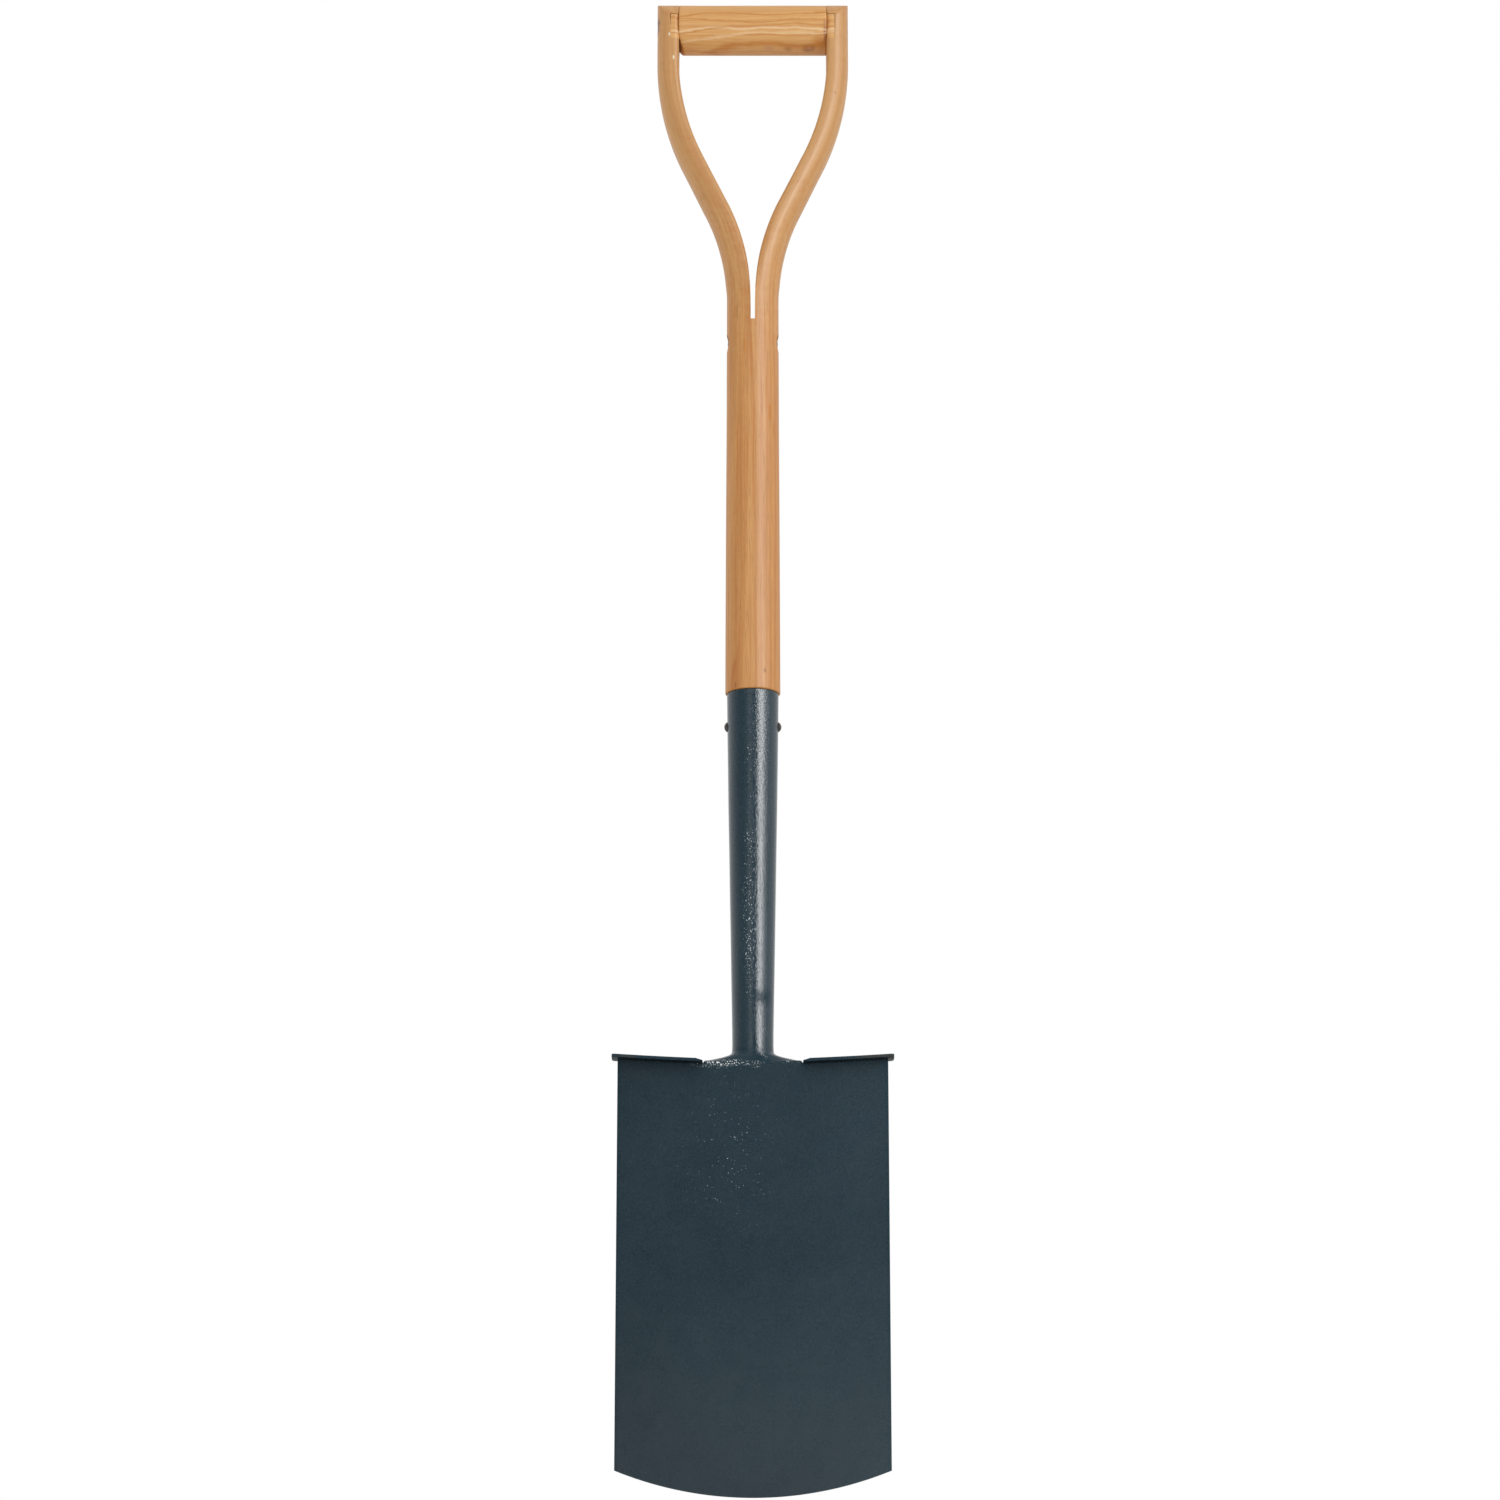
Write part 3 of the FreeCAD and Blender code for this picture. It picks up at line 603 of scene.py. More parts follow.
def dished_y(x, z, offset):
    """Face of the dished sheet, or a surface offset mm behind it."""
    depth = lerp(DISH_BOTTOM, DISH_TOP, z / TOP_Z)
    radius = (HALF_WIDTH ** 2 + depth ** 2) / (2 * depth)
    return spine_y(z) - radius + math.sqrt((radius + offset) ** 2 - x * x)


def tread_z(x, top):
    """Height of the sloping tread: its top or its underside."""
    t = (abs(x) - TREAD_INNER) / (TREAD_OUTER - TREAD_INNER)
    z = lerp(TOP_Z, TREAD_TOP_OUTER, t)
    return z if top else z - TREAD_THICKNESS


def blade_bottom(x):
    """Height of the cutting edge, an arc."""
    return EDGE_RADIUS - math.sqrt(EDGE_RADIUS ** 2 - x * x)


def blade_top(x):
    """Height of the sheet's top edge, which steps down to sit in the treads."""
    seat = TREAD_INNER - 0.1
    step = 0.8
    if abs(x) >= seat:
        return tread_z(x, False) + EDGE_SEATED
    return lerp(TOP_Z, tread_z(seat, False) + EDGE_SEATED, clamp((abs(x) - seat + step) / step))


def blade_point(u, v, inset, depth):
    """Point of the sheet: u from side to side, v up, depth 0 at the front and 1 behind."""
    x = u * (HALF_WIDTH - inset)
    low = blade_bottom(x) + inset
    high = blade_top(x) - inset
    if v < LOW_SHARE:
        z = low + LOW_BAND * v / LOW_SHARE
    elif v > 1 - HIGH_SHARE:
        z = high - HIGH_BAND * (1 - v) / HIGH_SHARE
    else:
        t = (v - LOW_SHARE) / (1 - LOW_SHARE - HIGH_SHARE)
        z = lerp(low + LOW_BAND, high - HIGH_BAND, t)
    above = z - blade_bottom(x)
    thick = THICKNESS - BEVEL_DEPTH * clamp(1 - above / BEVEL_HEIGHT)
    ripple = RIPPLE * (1 - u * u) * noise.noise(Vector((x * 0.018, z * 0.012, 3.1)))
    return (x, dished_y(x, z, 0) + depth * thick + ripple, z)


def make_blade():
    """Dished sheet with rounded edges and a ground bevel at the bottom."""
    shell = Shell()
    columns = 130
    rows = 150
    us = [-1 + 2 * i / columns for i in range(columns + 1)]
    vs = [i / rows for i in range(rows + 1)]
    shell.grid([[blade_point(u, v, RIM_INSET, 0.0) for u in us] for v in vs])
    shell.grid([[blade_point(u, v, RIM_INSET, 1.0) for u in us] for v in vs], flip=True)
    rim = [(u, 0.0) for u in us] + [(1.0, v) for v in vs[1:]]
    rim += [(u, 1.0) for u in us[::-1][1:]] + [(-1.0, v) for v in vs[::-1][1:-1]]
    profile = [(RIM_INSET, 0.0), (0.14, 0.07), (0.0, 0.25), (0.0, 0.75), (0.14, 0.93),
               (RIM_INSET, 1.0)]
    shell.grid([[blade_point(u, v, inset, depth) for u, v in rim] for inset, depth in profile],
               wrap=True)
    return shell.build("blade_sheet", PAINT_SHEET, "blade", 50)


# ------------ treads and their welds
def tread_section(x, side):
    """Rounded section of the strip at x, once round from the lower front corner."""
    end = clamp((TREAD_OUTER - x) / TREAD_CORNER)
    pull = TREAD_CORNER * (1 - math.sqrt(max(0.0, 1 - (1 - end) ** 2)))
    front = dished_y(x, TOP_Z, -TREAD_FRONT) + pull
    back = dished_y(x, TOP_Z, THICKNESS + TREAD_BACK) - pull
    low = tread_z(x, False)
    top = lerp(low + 1.0, tread_z(x, True), clamp((x - TREAD_INNER) / TREAD_SLOPE))
    height = top - low
    small = min(0.35, height * 0.3)
    large = min(1.0, height * 0.45)
    corners = [(front, low, small, math.pi), (back, low, small, 1.5 * math.pi),
               (back, top, small, 0.0), (front, top, large, 0.5 * math.pi)]
    points = []
    for y, z, radius, start in corners:
        sy = 1 if y == front else -1
        sz = 1 if z == low else -1
        for k in range(5):
            a = start + k * math.pi / 8
            points.append((side * x, y + sy * radius + radius * math.cos(a),
                           z + sz * radius + radius * math.sin(a)))
    return points


def make_tread(side, word):
    """Foot tread: a strip with a sloping inner end and rounded outer corners."""
    shell = Shell()
    slope_end = TREAD_INNER + TREAD_SLOPE
    corner_start = TREAD_OUTER - TREAD_CORNER
    xs = [TREAD_INNER + TREAD_SLOPE * k / 6 for k in range(7)]
    xs += [lerp(slope_end, corner_start, k / 30) for k in range(1, 31)]
    xs += [TREAD_OUTER - TREAD_CORNER * math.cos(k * math.pi / 20) for k in range(1, 11)]
    shell.rod([tread_section(x, side) for x in xs])
    return shell.build("tread_strip_" + word, PAINT_TREAD, "tread_" + word, 35)


def make_tread_bead(side, word):
    """Fillet weld under the tread, behind the blade, fading out at both ends."""
    shell = Shell()
    rows = []
    steps = 150
    for i in range(steps + 1):
        t = i / steps
        x = lerp(TREAD_INNER + BEAD_END, HALF_WIDTH - BEAD_END, t)
        fade = min(1.0, 6 * t + 0.15, 6 * (1 - t) + 0.15)
        leg = BEAD_LEG * fade * (0.92 + 0.08 * math.sin(x * 2.6))
        y = dished_y(x, TOP_Z - 2, THICKNESS)
        z = tread_z(x, False)
        ring = [(side * x, y - BEAD_OVERLAP, z + BEAD_OVERLAP / 2),
                (side * x, y + leg, z + BEAD_OVERLAP / 2)]
        for k in range(1, 6):
            a = k / 6
            bulge = 0.35 * math.sin(a * math.pi) * leg
            ring.append((side * x, y + leg * (1 - a) + bulge,
                         z + BEAD_OVERLAP / 2 - leg * a - bulge))
        ring.append((side * x, y - BEAD_OVERLAP, z - leg))
        rows.append(ring)
    shell.rod(rows)
    return shell.build("tread_bead_" + word, PAINT, "tread_weld_" + word, 60)


# ------------ socket
def socket_radius(z):
    if z < SOCKET_MID_Z:
        return lerp(NECK_RADIUS, SOCKET_MID_RADIUS, (z - NECK_Z) / (SOCKET_MID_Z - NECK_Z))
    return lerp(SOCKET_MID_RADIUS, MOUTH_RADIUS, (z - SOCKET_MID_Z) / (MOUTH_Z - SOCKET_MID_Z))


# Sections of the socket's flattened end behind the blade, in mm: how far below the blade's
# top, half width, middle behind the blade's face, reach to the front, reach to the back, and
# a power that is above 1 where the back is more pointed than an ellipse
TONGUE = [(TOP_Z - drop, *section) for drop, *section in [
    (78.3, 8, 2.6, 1.5, 1.6, 1),
    (74.3, 14, 2.6, 1.7, 2.1, 1),
    (67.3, 18, 2.6, 1.9, 2.8, 1),
    (57.3, 20.5, 2.6, 2, 4, 1.1),
    (45.3, 21.3, 2.8, 2.2, 6.4, 1.2),
    (33.3, 20.6, 3.4, 2.8, 10, 1.2),
    (21.3, 19, 5.2, 4.4, 14.2, 1.15),
    (9.3, 16.8, 8.5, 8.4, 16, 1.05),
    (-0.7, 15, 12.2, 11.6, 14.6, 1),
    (-9, 14.2, 13.25, 14.2, 14.2, 1),
]]


def tongue_values(z):
    """Smooth (cubic) interpolation between the tongue's sections."""
    k = 0
    while z > TONGUE[k + 1][0]:
        k += 1
    a = TONGUE[k]
    b = TONGUE[k + 1]
    before = TONGUE[max(0, k - 1)]
    after = TONGUE[min(len(TONGUE) - 1, k + 2)]
    span = b[0] - a[0]
    t = (z - a[0]) / span
    values = []
    for i in range(1, len(a)):
        slope_a = (b[i] - before[i]) / (b[0] - before[0]) * span
        slope_b = (after[i] - a[i]) / (after[0] - a[0]) * span
        values.append(lerp(a[i], b[i], ease(t)) + (t - 2 * t * t + t ** 3) * slope_a
                      + (t ** 3 - t * t) * slope_b)
    return values


def socket_ring(z, count, grow=0.0):
    """Ring round the socket: the tongue's section below NECK_Z, a circle above it."""
    ring = []
    for i in range(count):
        a = 2 * math.pi * i / count
        s, c = math.sin(a), math.cos(a)
        if z < NECK_Z:
            w, centre, front, back, power = tongue_values(z)
            y = back * signed_power(s, power) if s > 0 else front * s
            ring.append((w * c, spine_y(z) + centre + y, z))
        else:
            r = socket_radius(z) + grow
            r += 0.05 * noise.noise(Vector((c * 1.5, s * 1.5, z * 0.03)))
            ring.append((r * c, AXIS_Y + r * s, z))
    return ring


def make_socket():
    """Tapered tube, open at the mouth, with its tongue closed at the foot."""
    shell = Shell()
    count = 128
    zs = [lerp(TONGUE[0][0], NECK_Z, k / 58) for k in range(59)]
    zs += [lerp(NECK_Z, MOUTH_Z - 0.6, k / 120) for k in range(1, 121)]
    rings = [socket_ring(z, count) for z in zs]
    # round the mouth's edges and turn a little way down the inside: (inset, drop)
    for inset, drop in [(0.12, 0.3), (0.35, 0.08), (0.6, 0.0), (WALL - 0.5, 0.0),
                        (WALL - 0.2, 0.1), (WALL - 0.05, 0.4), (WALL - 0.05, 8.0)]:
        rings.append(socket_ring(MOUTH_Z - drop, count, -inset))
    shell.close(shell.grid(rings, wrap=True)[0])
    return shell.build("socket_tube", PAINT_TUBE, "socket", 45)


def make_seam():
    """Wavy weld bead up the back of the socket."""
    shell = Shell()
    rows = []
    steps = 420
    around = [2 * math.pi * k / 14 for k in range(14)]
    for i in range(steps + 1):
        t = i / steps
        z = lerp(ROUND_Z + 2, MOUTH_Z - 2, t)
        fade = min(1.0, 30 * t + 0.2, 30 * (1 - t) + 0.2)
        r = SEAM_RADIUS * fade * (0.94 + 0.06 * math.sin(z * 2.4))
        centre = AXIS_Y + socket_radius(z) - SEAM_SUNK
        rows.append([(1.25 * r * math.cos(a), centre + r * 0.9 * math.sin(a), z) for a in around])
    shell.rod(rows)
    return shell.build("seam_bead", PAINT, "socket_seam_weld", 60)


# Outline of the flare between the blade's top edge and the neck, mm: (height, half width)
FLARE = [(-9, 36), (-6, 35), (-3, 34.3), (0, 33.8), (1.1, 29.4), (2.5, 25.2),
         (4, 20.6), (5.5, 16.7), (7.2, 14.8), (9, 14.5), (13, 14.36), (18, 14.4)]


def flare_width(up):
    """Half width of the flare at a height above the blade's top edge."""
    for (h0, w0), (h1, w1) in zip(FLARE, FLARE[1:]):
        if up <= h1:
            return lerp(w0, w1, clamp((up - h0) / (h1 - h0)))
    return FLARE[-1][1]


def weld_ridge(x, up):
    """Low uneven weld bead along the fold under the shoulders, in mm."""
    sag = -1.0 - 3.2 * (1 - clamp(abs(x + 14) / 22) ** 2)
    away = (up - sag) / 1.5
    ends = ease((x + 36) / 5) * ease((8 - x) / 8)
    lumps = 0.75 + 0.5 * noise.noise(Vector((x * 0.9, up * 0.9, 4.0)))
    return 0.55 * math.exp(-away * away) * ends * lumps


def make_neck():
    """Dressed weld that blends the blade's face into the round neck."""
    shell = Shell()
    columns = 120
    levels = 108
    rows = []
    for level in range(levels + 1):
        up = lerp(FLARE[0][0], FLARE[-1][0], level / levels)
        z = TOP_Z + up
        w = flare_width(up)
        r = socket_radius(max(z, NECK_Z)) + 0.12
        roundness = ease((up + 4) / 13)
        front = []
        back = []
        for i in range(columns + 1):
            # from just above the sheet's face below to the front half of the tube above
            s = -1 + 2 * i / columns
            flat_x = s * w
            flat_y = dished_y(flat_x, z, 0) + lerp(0.5, -0.30, ease((up + 9) / 9))
            flat_y -= weld_ridge(flat_x, up)
            a = s * math.pi / 2 * 0.98
            x = lerp(flat_x, w * math.sin(a), roundness)
            y = lerp(flat_y, AXIS_Y - r * math.cos(a), roundness)
            front.append((x, y, z))
            back.append((x * 0.985, y + lerp(1.6, 0.8, roundness), z))
        rows.append(front + back[::-1])
    grid = shell.grid(rows, wrap=True)
    for row in (grid[0], grid[-1]):
        last = len(row) - 1
        for i in range(columns):
            shell.faces.append([row[i], row[i + 1], row[last - i - 1], row[last - i]])
    return shell.build("neck_blend", PAINT_NECK, "neck_weld", 50)


# ------------ ash shaft and arms
def arm_centre(z):
    """Distance of the arm's middle line from the axis, and its slope as an angle."""
    rise1 = LOWER_BEND * math.sin(ARM_ANGLE)
    run1 = LOWER_BEND * (1 - math.cos(ARM_ANGLE))
    rise2 = UPPER_BEND * math.sin(ARM_ANGLE)
    run2 = UPPER_BEND * (1 - math.cos(ARM_ANGLE))
    straight = (ARM_TOP_X - ARM_BASE_X - run1 - run2) / math.tan(ARM_ANGLE)
    end = ARM_START_Z + rise1 + straight + rise2
    if z <= ARM_START_Z:
        return ARM_BASE_X, 0.0
    if z <= ARM_START_Z + rise1:
        turn = math.asin((z - ARM_START_Z) / LOWER_BEND)
        return ARM_BASE_X + LOWER_BEND * (1 - math.cos(turn)), turn
    if z <= end - rise2:
        return ARM_BASE_X + run1 + (z - ARM_START_Z - rise1) * math.tan(ARM_ANGLE), ARM_ANGLE
    if z < end:
        turn = math.asin((end - z) / UPPER_BEND)
        return ARM_TOP_X - UPPER_BEND * (1 - math.cos(turn)), turn
    return ARM_TOP_X, 0.0


def arm_thickness(z):
    base = SHAFT_CROTCH_RADIUS - KERF / 2
    return lerp(base, ARM_TOP_THICKNESS, clamp((z - ARM_TAPER_START_Z) / ARM_TAPER_LENGTH))


def shaft_radius(z):
    t = clamp((z - MOUTH_Z) / (CROTCH_Z - MOUTH_Z))
    return lerp(SHAFT_MOUTH_RADIUS, SHAFT_CROTCH_RADIUS, t)


# Steps across the round outside, the flat inside and each inner corner of an arm
OUTER_STEPS = 48
INNER_STEPS = 14
CORNER_STEPS = 6
# Edges sharper than this many degrees stay crisp
SHAFT_SHARP = 42
# The saw cut starts at this angle from the front of the round shaft
KERF_ANGLE = math.asin(KERF / 2 / SHAFT_CROTCH_RADIUS)
OUTER_ANGLES = [lerp(KERF_ANGLE, math.pi - KERF_ANGLE, i / OUTER_STEPS)
                for i in range(OUTER_STEPS + 1)]


def arm_sides(z):
    """Distance from the axis to the inner and the outer side of an arm."""
    centre, turn = arm_centre(z)
    half = arm_thickness(z) / 2 / math.cos(turn)
    cut = KERF / 2 + (z - CROTCH_Z) * 0.01
    k = ease((z - ARM_START_Z) / 12)
    return lerp(cut, centre - half, k), lerp(SHAFT_CROTCH_RADIUS, centre + half, k)


def arm_ring(z, side):
    """Level ring round one arm, starting at the front inner corner."""
    inner, outer = arm_sides(z)
    t = clamp((z - CROTCH_Z) / (ARM_TOP_Z - CROTCH_Z))
    depth = lerp(SHAFT_CROTCH_RADIUS, ARM_TOP_HALF_DEPTH, t ** 0.8)
    blend = ease((z - CROTCH_Z) / 70)
    corner = ARM_CORNER * ease((z - CROTCH_Z) / 60)
    power = lerp(1.0, 0.74, t)
    loop = []
    for i, a in enumerate(OUTER_ANGLES):
        full = math.pi * i / OUTER_STEPS
        soft_x = inner + corner + (outer - inner - corner) * abs(math.sin(full)) ** power
        soft_y = -depth * signed_power(math.cos(full), power)
        # the split shaft keeps its round outside near the crotch
        round_x = SHAFT_CROTCH_RADIUS * math.sin(a) + (outer - SHAFT_CROTCH_RADIUS)
        round_y = -SHAFT_CROTCH_RADIUS * math.cos(a)
        loop.append((lerp(round_x, soft_x, blend), lerp(round_y, soft_y, blend)))
    front_x, front_y = loop[0]
    back_x, back_y = loop[-1]
    turns = [k / CORNER_STEPS * math.pi / 2 for k in range(1, CORNER_STEPS)]
    loop += [(inner + (back_x - inner) * (1 - math.sin(a)), back_y - corner * (1 - math.cos(a)))
             for a in turns]
    loop += [(inner, lerp(back_y - corner, front_y + corner, k / INNER_STEPS))
             for k in range(INNER_STEPS + 1)]
    loop += [(inner + (front_x - inner) * (1 - math.sin(a)), front_y + corner * (1 - math.cos(a)))
             for a in turns[::-1]]
    if z > CROSSBAR_Z:
        limit = math.sqrt(max(0.0, CROSSBAR_RADIUS ** 2 - (z - CROSSBAR_Z) ** 2))
        loop = [(x, max(-limit, min(limit, y))) for x, y in loop]
    return [(side * x, AXIS_Y + y, z) for x, y in loop]


def shaft_ring(z, radius):
    """Round ring with points at the edges of the saw cut, for joining the arms."""
    wobble = 0.10 * noise.noise(Vector((0.3, 8.2, z * 0.011)))
    r = radius + wobble * clamp((CROTCH_Z - z) / 20)
    angles = OUTER_ANGLES + [math.pi] + [2 * math.pi - a for a in OUTER_ANGLES[::-1]] + [0.0]
    return [(r * math.sin(a), AXIS_Y - r * math.cos(a), z) for a in angles]


def make_shaft():
    """Spigot end and round shaft, then the two arms that the saw cut leaves."""
    shell = Shell()
    hole = MOUTH_RADIUS - WALL
    ledge = MOUTH_Z + 0.02
    levels = [(MOUTH_Z - SPIGOT_SHOWN, hole - 0.05), (MOUTH_Z - 0.2, hole - 0.05)]
    levels += [(ledge, hole + 0.6), (ledge, SHAFT_MOUTH_RADIUS - SHAFT_EDGE)]
    for k in range(1, 6):
        a = k / 5 * math.pi / 2
        levels.append((ledge + SHAFT_EDGE * (1 - math.cos(a)),
                       SHAFT_MOUTH_RADIUS - SHAFT_EDGE * (1 - math.sin(a))))
    levels += [(z, shaft_radius(z)) for z in
               [lerp(MOUTH_Z + 2, CROTCH_Z, k / 120) for k in range(121)]]
    grid = shell.grid([shaft_ring(z, r) for z, r in levels], wrap=True)
    shell.cap(grid[0], (0, AXIS_Y, levels[0][0]))

    heights = [CROTCH_Z, CROTCH_Z + 0.5]
    heights += [lerp(CROTCH_Z + 1, CROSSBAR_Z, k / 165) for k in range(166)]
    heights += [CROSSBAR_Z + CROSSBAR_RADIUS * math.sin(math.pi / 2 * k / 16) for k in range(1, 17)]
    # the floor of the saw cut lies between the inner sides of the arms' lowest rings
    edges = []
    for side in (1, -1):
        lowest = shell.grid([arm_ring(z, side) for z in heights], wrap=True)[0]
        edges.append(lowest[OUTER_STEPS:] + [lowest[0]])
    right, left = edges
    for k in range(len(right) - 1):
        shell.faces.append([right[k], right[k + 1], left[k + 1], left[k]])
    back_middle = grid[-1][OUTER_STEPS + 1]
    front_middle = grid[-1][-1]
    shell.faces.append([right[0], left[0], back_middle])
    shell.faces.append([right[-1], left[-1], front_middle])
    return shell.build("shaft_wood", WOOD_SHAFT, "handle_shaft", SHAFT_SHARP)


def make_crossbar():
    """Turned bar, tight against the arms above, pared away at the left underneath."""
    shell = Shell()
    rim = [(0.0, 6.0), (0.0, 0.9), (0.12, 0.42), (0.45, 0.12), (1.0, 0.0), (2.0, 0.0)]
    profile = [(-BAR_HALF + x, CROSSBAR_RADIUS - drop) for x, drop in rim]
    profile += [(lerp(-BAR_HALF + 3, BAR_HALF - 3, k / 60), CROSSBAR_RADIUS) for k in range(61)]
    profile += [(BAR_HALF - x, CROSSBAR_RADIUS - drop) for x, drop in rim[::-1]]
    count = 128
    rows = []
    for x, r in profile:
        row = []
        for i in range(count):
            a = 2 * math.pi * i / count
            rr = r - 0.10 * abs(noise.noise(Vector((math.cos(a), math.sin(a), x * 0.03))))
            low = clamp((-rr * math.sin(a) - PARED_FROM) / (CROSSBAR_RADIUS - PARED_FROM))
            shift = PARED_LENGTH * low ** 1.1 * clamp(1 - (x + BAR_HALF) / PARED_REACH)
            row.append((x + shift, AXIS_Y - rr * math.cos(a), CROSSBAR_Z + rr * math.sin(a)))
        rows.append(row)
    grid = shell.grid(rows, wrap=True)
    shell.cap(grid[0], (-BAR_HALF, AXIS_Y, CROSSBAR_Z))
    shell.cap(grid[-1], (BAR_HALF, AXIS_Y, CROSSBAR_Z))
    for side in (1, -1):
        add_tongue(shell, side)
    return shell.build("crossbar_wood", WOOD_BAR, "crossbar", 50, 0.0005)


def arm_face_depth(x, z):
    """How far the arm's front face stands before the axis, at x and z."""
    loop = [(point[0], AXIS_Y - point[1]) for point in arm_ring(z, 1)]
    depth = 0.0
    for (x0, y0), (x1, y1) in zip(loop, loop[1:] + loop[:1]):
        if min(x0, x1) <= x <= max(x0, x1) and abs(x1 - x0) > 1e-6:
            depth = max(depth, lerp(y0, y1, (x - x0) / (x1 - x0)))
    return depth


def add_tongue(shell, side):
    """Flat tongue on the end of the bar, flush with the faces of the arm."""
    rows = []
    for k in range(25):
        z = CROSSBAR_Z + lerp(TONGUE_DROP, TONGUE_RISE, k / 24)
        row = []
        for i in range(9):
            x = BAR_HALF + lerp(-0.05, TONGUE_LENGTH, i / 8)
            row.append((x, arm_face_depth(max(x, BAR_HALF + 0.3), z) - 0.04))
        ring = [(side * x, AXIS_Y - depth, z) for x, depth in row]
        ring += [(side * x, AXIS_Y + depth, z) for x, depth in row[::-1]]
        rows.append(ring)
    shell.rod(rows)


def bar_grain(point):
    """Grain coordinates, in metres: along the bar."""
    x, y, z = point
    return y - AXIS_Y * MM, z - CROSSBAR_Z * MM, x


def shaft_grain(point):
    """Grain coordinates, in metres: straight in the shaft, bent with the arms."""
    x, y, z = point
    if z > CROTCH_Z * MM:
        x -= math.copysign(arm_centre(z / MM)[0] - ARM_BASE_X, x) * MM
    return x, y - AXIS_Y * MM, z


def lay_grain(piece, grain):
    """Write the grain coordinates that the wood material reads."""
    layer = piece.data.attributes.new("grain", "FLOAT_VECTOR", "POINT")
    for i, v in enumerate(piece.data.vertices):
        layer.data[i].vector = grain(v.co)


def subtract(piece, cutter):
    modifier = piece.modifiers.new("recess", "BOOLEAN")
    modifier.operation = "DIFFERENCE"
    modifier.solver = "MANIFOLD"
    modifier.object = cutter
    with bpy.context.temp_override(object=piece, active_object=piece):
        bpy.ops.object.modifier_apply(modifier="recess")
    bpy.data.objects.remove(cutter)


def cutter_from(bm):
    face_outwards(bm)
    mesh = bpy.data.meshes.new("cutter")
    bm.to_mesh(mesh)
    bm.free()
    cutter = bpy.data.objects.new("cutter", mesh)
    bpy.context.scene.collection.objects.link(cutter)
    return cutter


def round_cutter(side, radius, floor, z):
    """Rod that sinks a round recess from the outside down to x = floor."""
    bm = bmesh.new()
    bmesh.ops.create_cone(bm, cap_ends=True, segments=64, radius1=radius * MM,
                          radius2=radius * MM, depth=20 * MM)
    for v in bm.verts:
        across, depth, along = v.co
        v.co = (side * (floor + 10) * MM + along, AXIS_Y * MM + depth, z * MM + across)
    return cutter_from(bm)


def box_cutter(side, x0, x1, x1_top, z0, z1):
    """Box through the arm from x0 to x1, with its far side leaning to x1_top at the top."""
    bm = bmesh.new()
    bmesh.ops.create_cube(bm, size=1.0)
    for v in bm.verts:
        far = x1 if v.co.z < 0 else x1_top
        x = x0 if v.co.x < 0 else far
        y = -POCKET_DEPTH if v.co.y < 0 else POCKET_DEPTH
        z = z0 if v.co.z < 0 else z1
        v.co = (side * x * MM, (AXIS_Y + y) * MM, (CROSSBAR_Z + z) * MM)
    return cutter_from(bm)


def joint_shaft(piece):
    """Recesses, tongue pockets and the open joint lines of the grip."""
    reach = BAR_HALF + TONGUE_LENGTH
    for side in (1, -1):
        subtract(piece, round_cutter(side, COUNTERBORE, ROD_FLOOR, CROSSBAR_Z))
        subtract(piece, round_cutter(side, DIMPLE, SPLIT_FLOOR, SPLIT_RIVET_Z))
        subtract(piece, box_cutter(side, BAR_HALF - 2, reach + FOOT_GAP[side], reach + GLUE_LINE,
                                   TONGUE_DROP - 0.1, TONGUE_RISE + GLUE_LINE))
    piece.data.set_sharp_from_angle(angle=math.radians(SHAFT_SHARP))


make_blade()
for side, word in ((1, "right"), (-1, "left")):
    make_tread(side, word)
    make_tread_bead(side, word)
socket = make_socket()
make_seam()
neck = make_neck()
shaft = make_shaft()
joint_shaft(shaft)
lay_grain(shaft, shaft_grain)
crossbar = make_crossbar()
lay_grain(crossbar, bar_grain)

for node in ("socket_rivet", "split_rivet", "split_rivet_washers", "crossbar_rod",
             "crossbar_rod_washers"):
    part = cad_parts[node]
    part.data.materials.clear()
    part.data.materials.append(RIVET)


# ------------ floor, light, camera
DIFFUSE_WORLD = 0.80
GLOSS_PEAK = 6.0
# What shiny surfaces see round the horizon: (degrees to the right of the camera, share)
HORIZON = [(-180, 0.15), (-110, 0.15), (-80, 0.06), (-48, 0.014), (-41, 0.014), (-38, 0.05),
           (-33, 0.05), (-30, 0.040), (-18, 0.028), (-8, 0.014), (4, 0.008), (30, 0.010),
           (60, 0.04), (90, 0.13), (180, 0.15)]
CEILING = 0.15
# Lights that only the round parts reflect: name, degrees to the right, width, power
STRIPS = [
    ("strip_right", 38, 1.18, 109),
    ("strip_edge", 61, 0.95, 16),
    ("strip_left", -12, 0.8, 7),
]
LIGHT_TARGET = Vector((0, 0, 0.55))
LIGHT_DISTANCE = 2.6
CAMERA_TARGET = Vector((-0.002, 0.012, 0.5206))
CAMERA_DISTANCE = 3.0
# Degrees above the horizontal: the photo was taken from a little below the spade
CAMERA_ELEVATION = -14.5


def floor_material():
    """Pale floor that is clear from underneath, for a camera below its level."""
    g = Surface("pale_floor")
    speck = g.noise(g.position(), 40.0, 3.0, 0.5)
    g.set("Base Color", g.ramp(speck, [(0.3, (0.80, 0.80, 0.79)), (0.7, (0.84, 0.84, 0.83))]))
    g.set("Roughness", 0.75)
    behind = g.node("ShaderNodeNewGeometry").outputs["Backfacing"]
    clear = g.node("ShaderNodeBsdfTransparent").outputs[0]
    g.link(g.blend(behind, g.shader.outputs[0], clear), g.out.inputs[0])
    return g.material


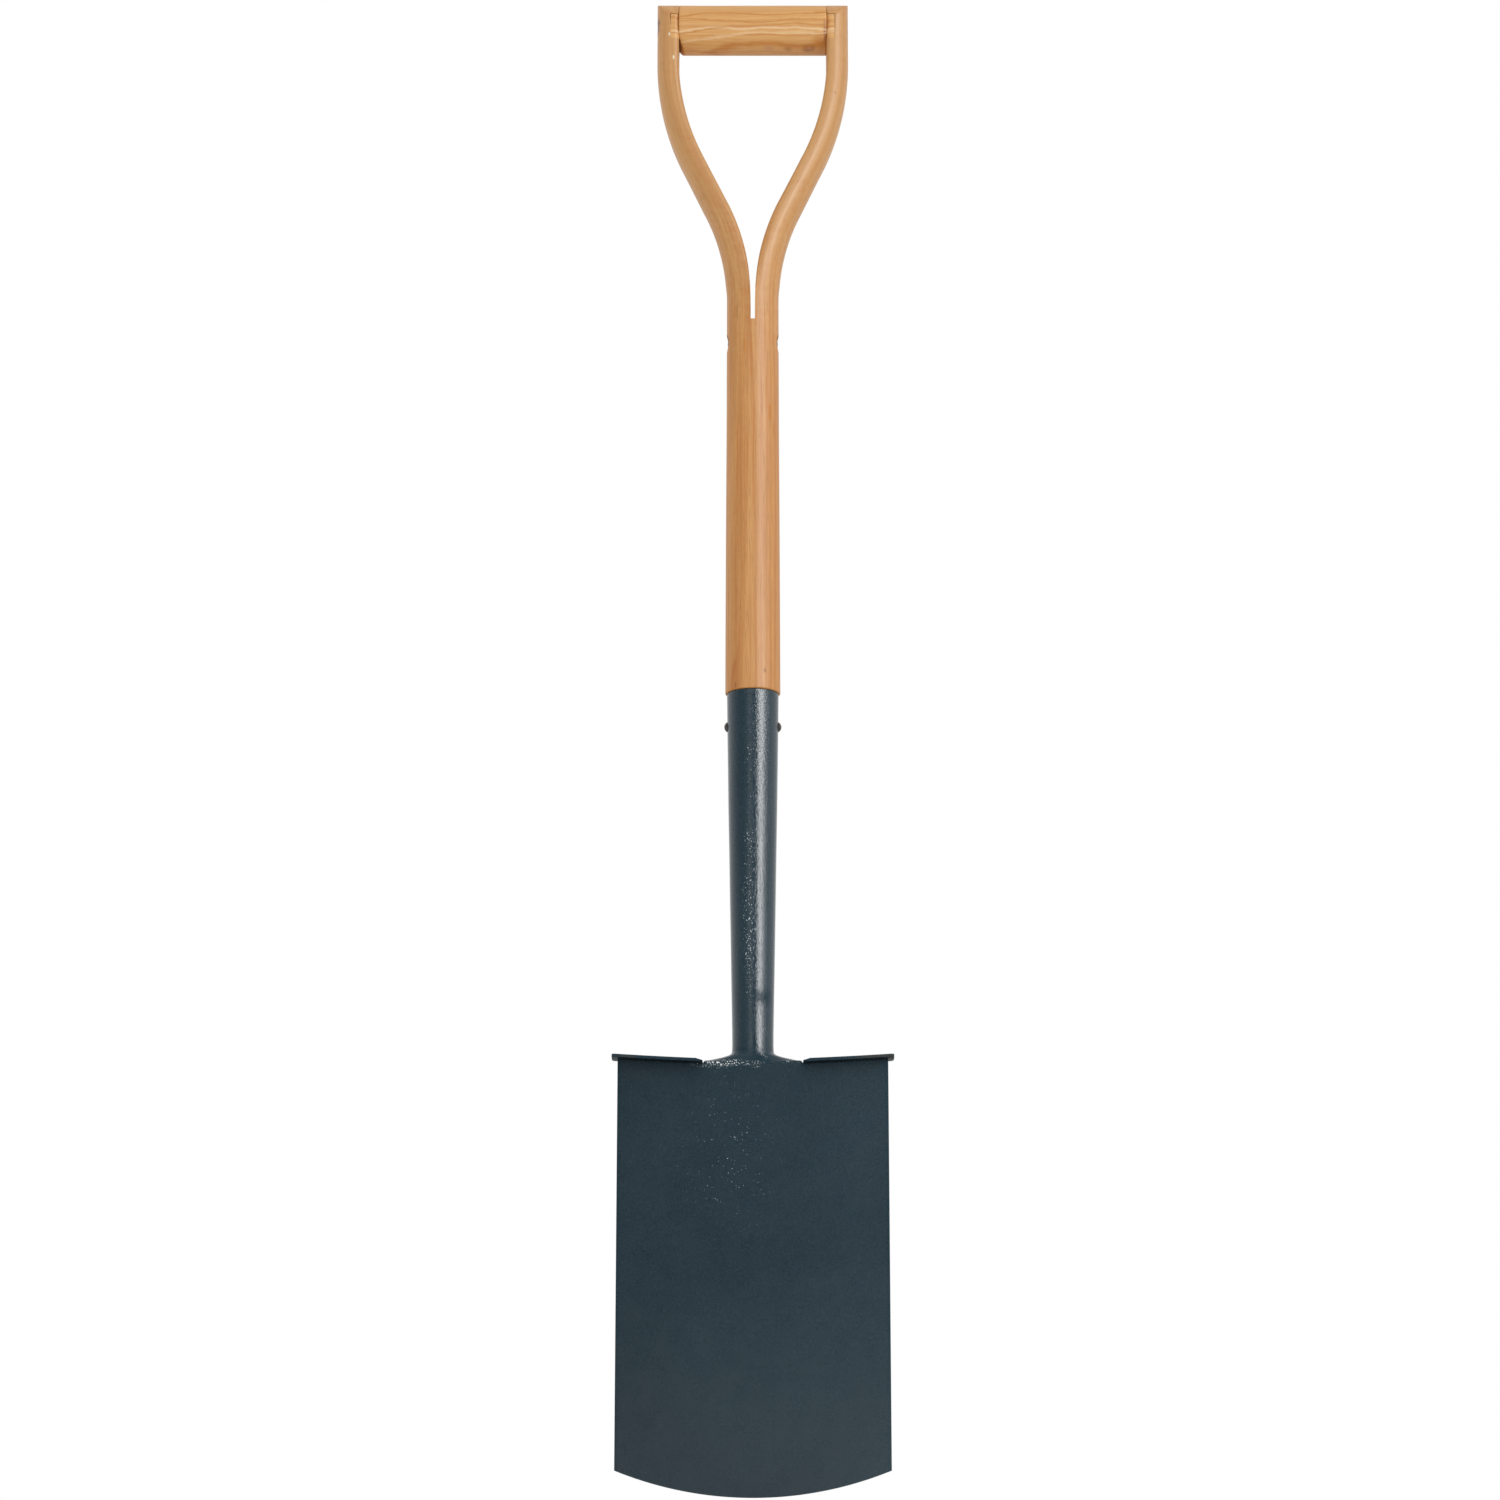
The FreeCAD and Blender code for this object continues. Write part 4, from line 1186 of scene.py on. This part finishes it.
def make_floor():
    half = 6.0
    under = -0.0006
    mesh = bpy.data.meshes.new("floor")
    corners = [(-half, -half, under), (half, -half, under), (half, half, under),
               (-half, half, under)]
    mesh.from_pydata(corners, [], [(0, 1, 2, 3)])
    mesh.materials.append(floor_material())
    floor = bpy.data.objects.new("floor", mesh)
    bpy.context.scene.collection.objects.link(floor)


def add_area(name, azimuth, elevation, width, height, power):
    """Softbox turned to the middle of the spade: azimuth in degrees from the camera's side,
    positive to the right."""
    az = math.radians(azimuth)
    el = math.radians(elevation)
    place = Vector((math.sin(az) * math.cos(el), -math.cos(az) * math.cos(el), math.sin(el)))
    light = bpy.data.lights.new(name, "AREA")
    light.shape = "RECTANGLE"
    light.size = width
    light.size_y = height
    light.energy = power
    holder = bpy.data.objects.new(name, light)
    holder.location = LIGHT_TARGET + place * LIGHT_DISTANCE
    holder.rotation_euler = (-place).to_track_quat("-Z", "Y").to_euler()
    bpy.context.scene.collection.objects.link(holder)
    return holder


def collect(name, pieces):
    """Collection of the pieces that a light is limited to."""
    collection = bpy.data.collections.new(name)
    for piece in pieces:
        collection.objects.link(piece)
    return collection


def make_lights():
    """One soft key light, one fill for the wood, and the strips behind the highlights."""
    key = add_area("softbox_right", azimuth=44, elevation=14, width=1.3, height=2.0, power=20)
    key.visible_glossy = False
    round_parts = collect("round_parts", (socket, neck, shaft, crossbar))
    for name, azimuth, width, power in STRIPS:
        strip = add_area(name, azimuth, elevation=14, width=width, height=2.6, power=power)
        strip.visible_diffuse = False
        strip.light_linking.receiver_collection = round_parts
    fill = add_area("softbox_left", azimuth=-60, elevation=10, width=1.3, height=2.0, power=6)
    fill.visible_glossy = False
    fill.light_linking.receiver_collection = collect("wooden_parts", (shaft, crossbar))


def make_world():
    """White to the camera, even light for matt surfaces, and for reflections a pale
    backdrop behind and above with a dim studio in front."""
    world = bpy.data.worlds.new("studio")
    bpy.context.scene.world = world
    world.use_nodes = True
    world.cycles.sampling_method = "NONE"
    g = Graph(world.node_tree)

    def background(strength):
        white = (1.0, 1.0, 1.0)
        return g.node("ShaderNodeBackground", Color=white, Strength=strength).outputs[0]

    def smooth(value, **limits):
        n = g.node("ShaderNodeMapRange", Value=value, **limits)
        n.interpolation_type = "SMOOTHSTEP"
        return n.outputs[0]

    direction = g.node("ShaderNodeTexCoord").outputs["Generated"]
    parts = g.node("ShaderNodeSeparateXYZ", Vector=direction).outputs
    turn = g.math("ARCTAN2", parts["X"], g.math("MULTIPLY", parts["Y"], -1.0))
    around = g.math("MULTIPLY_ADD", turn, 0.5 / math.pi, 0.5)
    horizon = g.ramp(around, [(degrees / 360 + 0.5, share) for degrees, share in HORIZON])
    high = smooth(parts["Z"], From_Min=0.50, From_Max=0.80)
    low = smooth(high, To_Min=1.0, To_Max=0.0)
    share = g.math("ADD", g.math("MULTIPLY", horizon, low), g.math("MULTIPLY", high, CEILING))
    gloss = g.math("MULTIPLY", share, GLOSS_PEAK)
    path = g.node("ShaderNodeLightPath").outputs
    lit = g.blend(path["Is Glossy Ray"], background(DIFFUSE_WORLD), background(gloss))
    seen = g.blend(path["Is Camera Ray"], lit, background(1.0))
    g.link(seen, g.node("ShaderNodeOutputWorld").inputs[0])


def make_camera():
    camera = bpy.data.cameras.new("camera")
    camera.lens = 102.4
    camera.sensor_width = 36.0
    holder = bpy.data.objects.new("camera", camera)
    bpy.context.scene.collection.objects.link(holder)
    lift = math.radians(CAMERA_ELEVATION)
    reach = Vector((0, -math.cos(lift), math.sin(lift))) * CAMERA_DISTANCE
    holder.location = CAMERA_TARGET + reach
    holder.rotation_euler = (-reach).to_track_quat("-Z", "Y").to_euler()
    bpy.context.scene.camera = holder


make_floor()
make_world()
make_camera()
make_lights()

scene = bpy.context.scene
scene.view_settings.view_transform = "Standard"
scene.view_settings.look = "None"
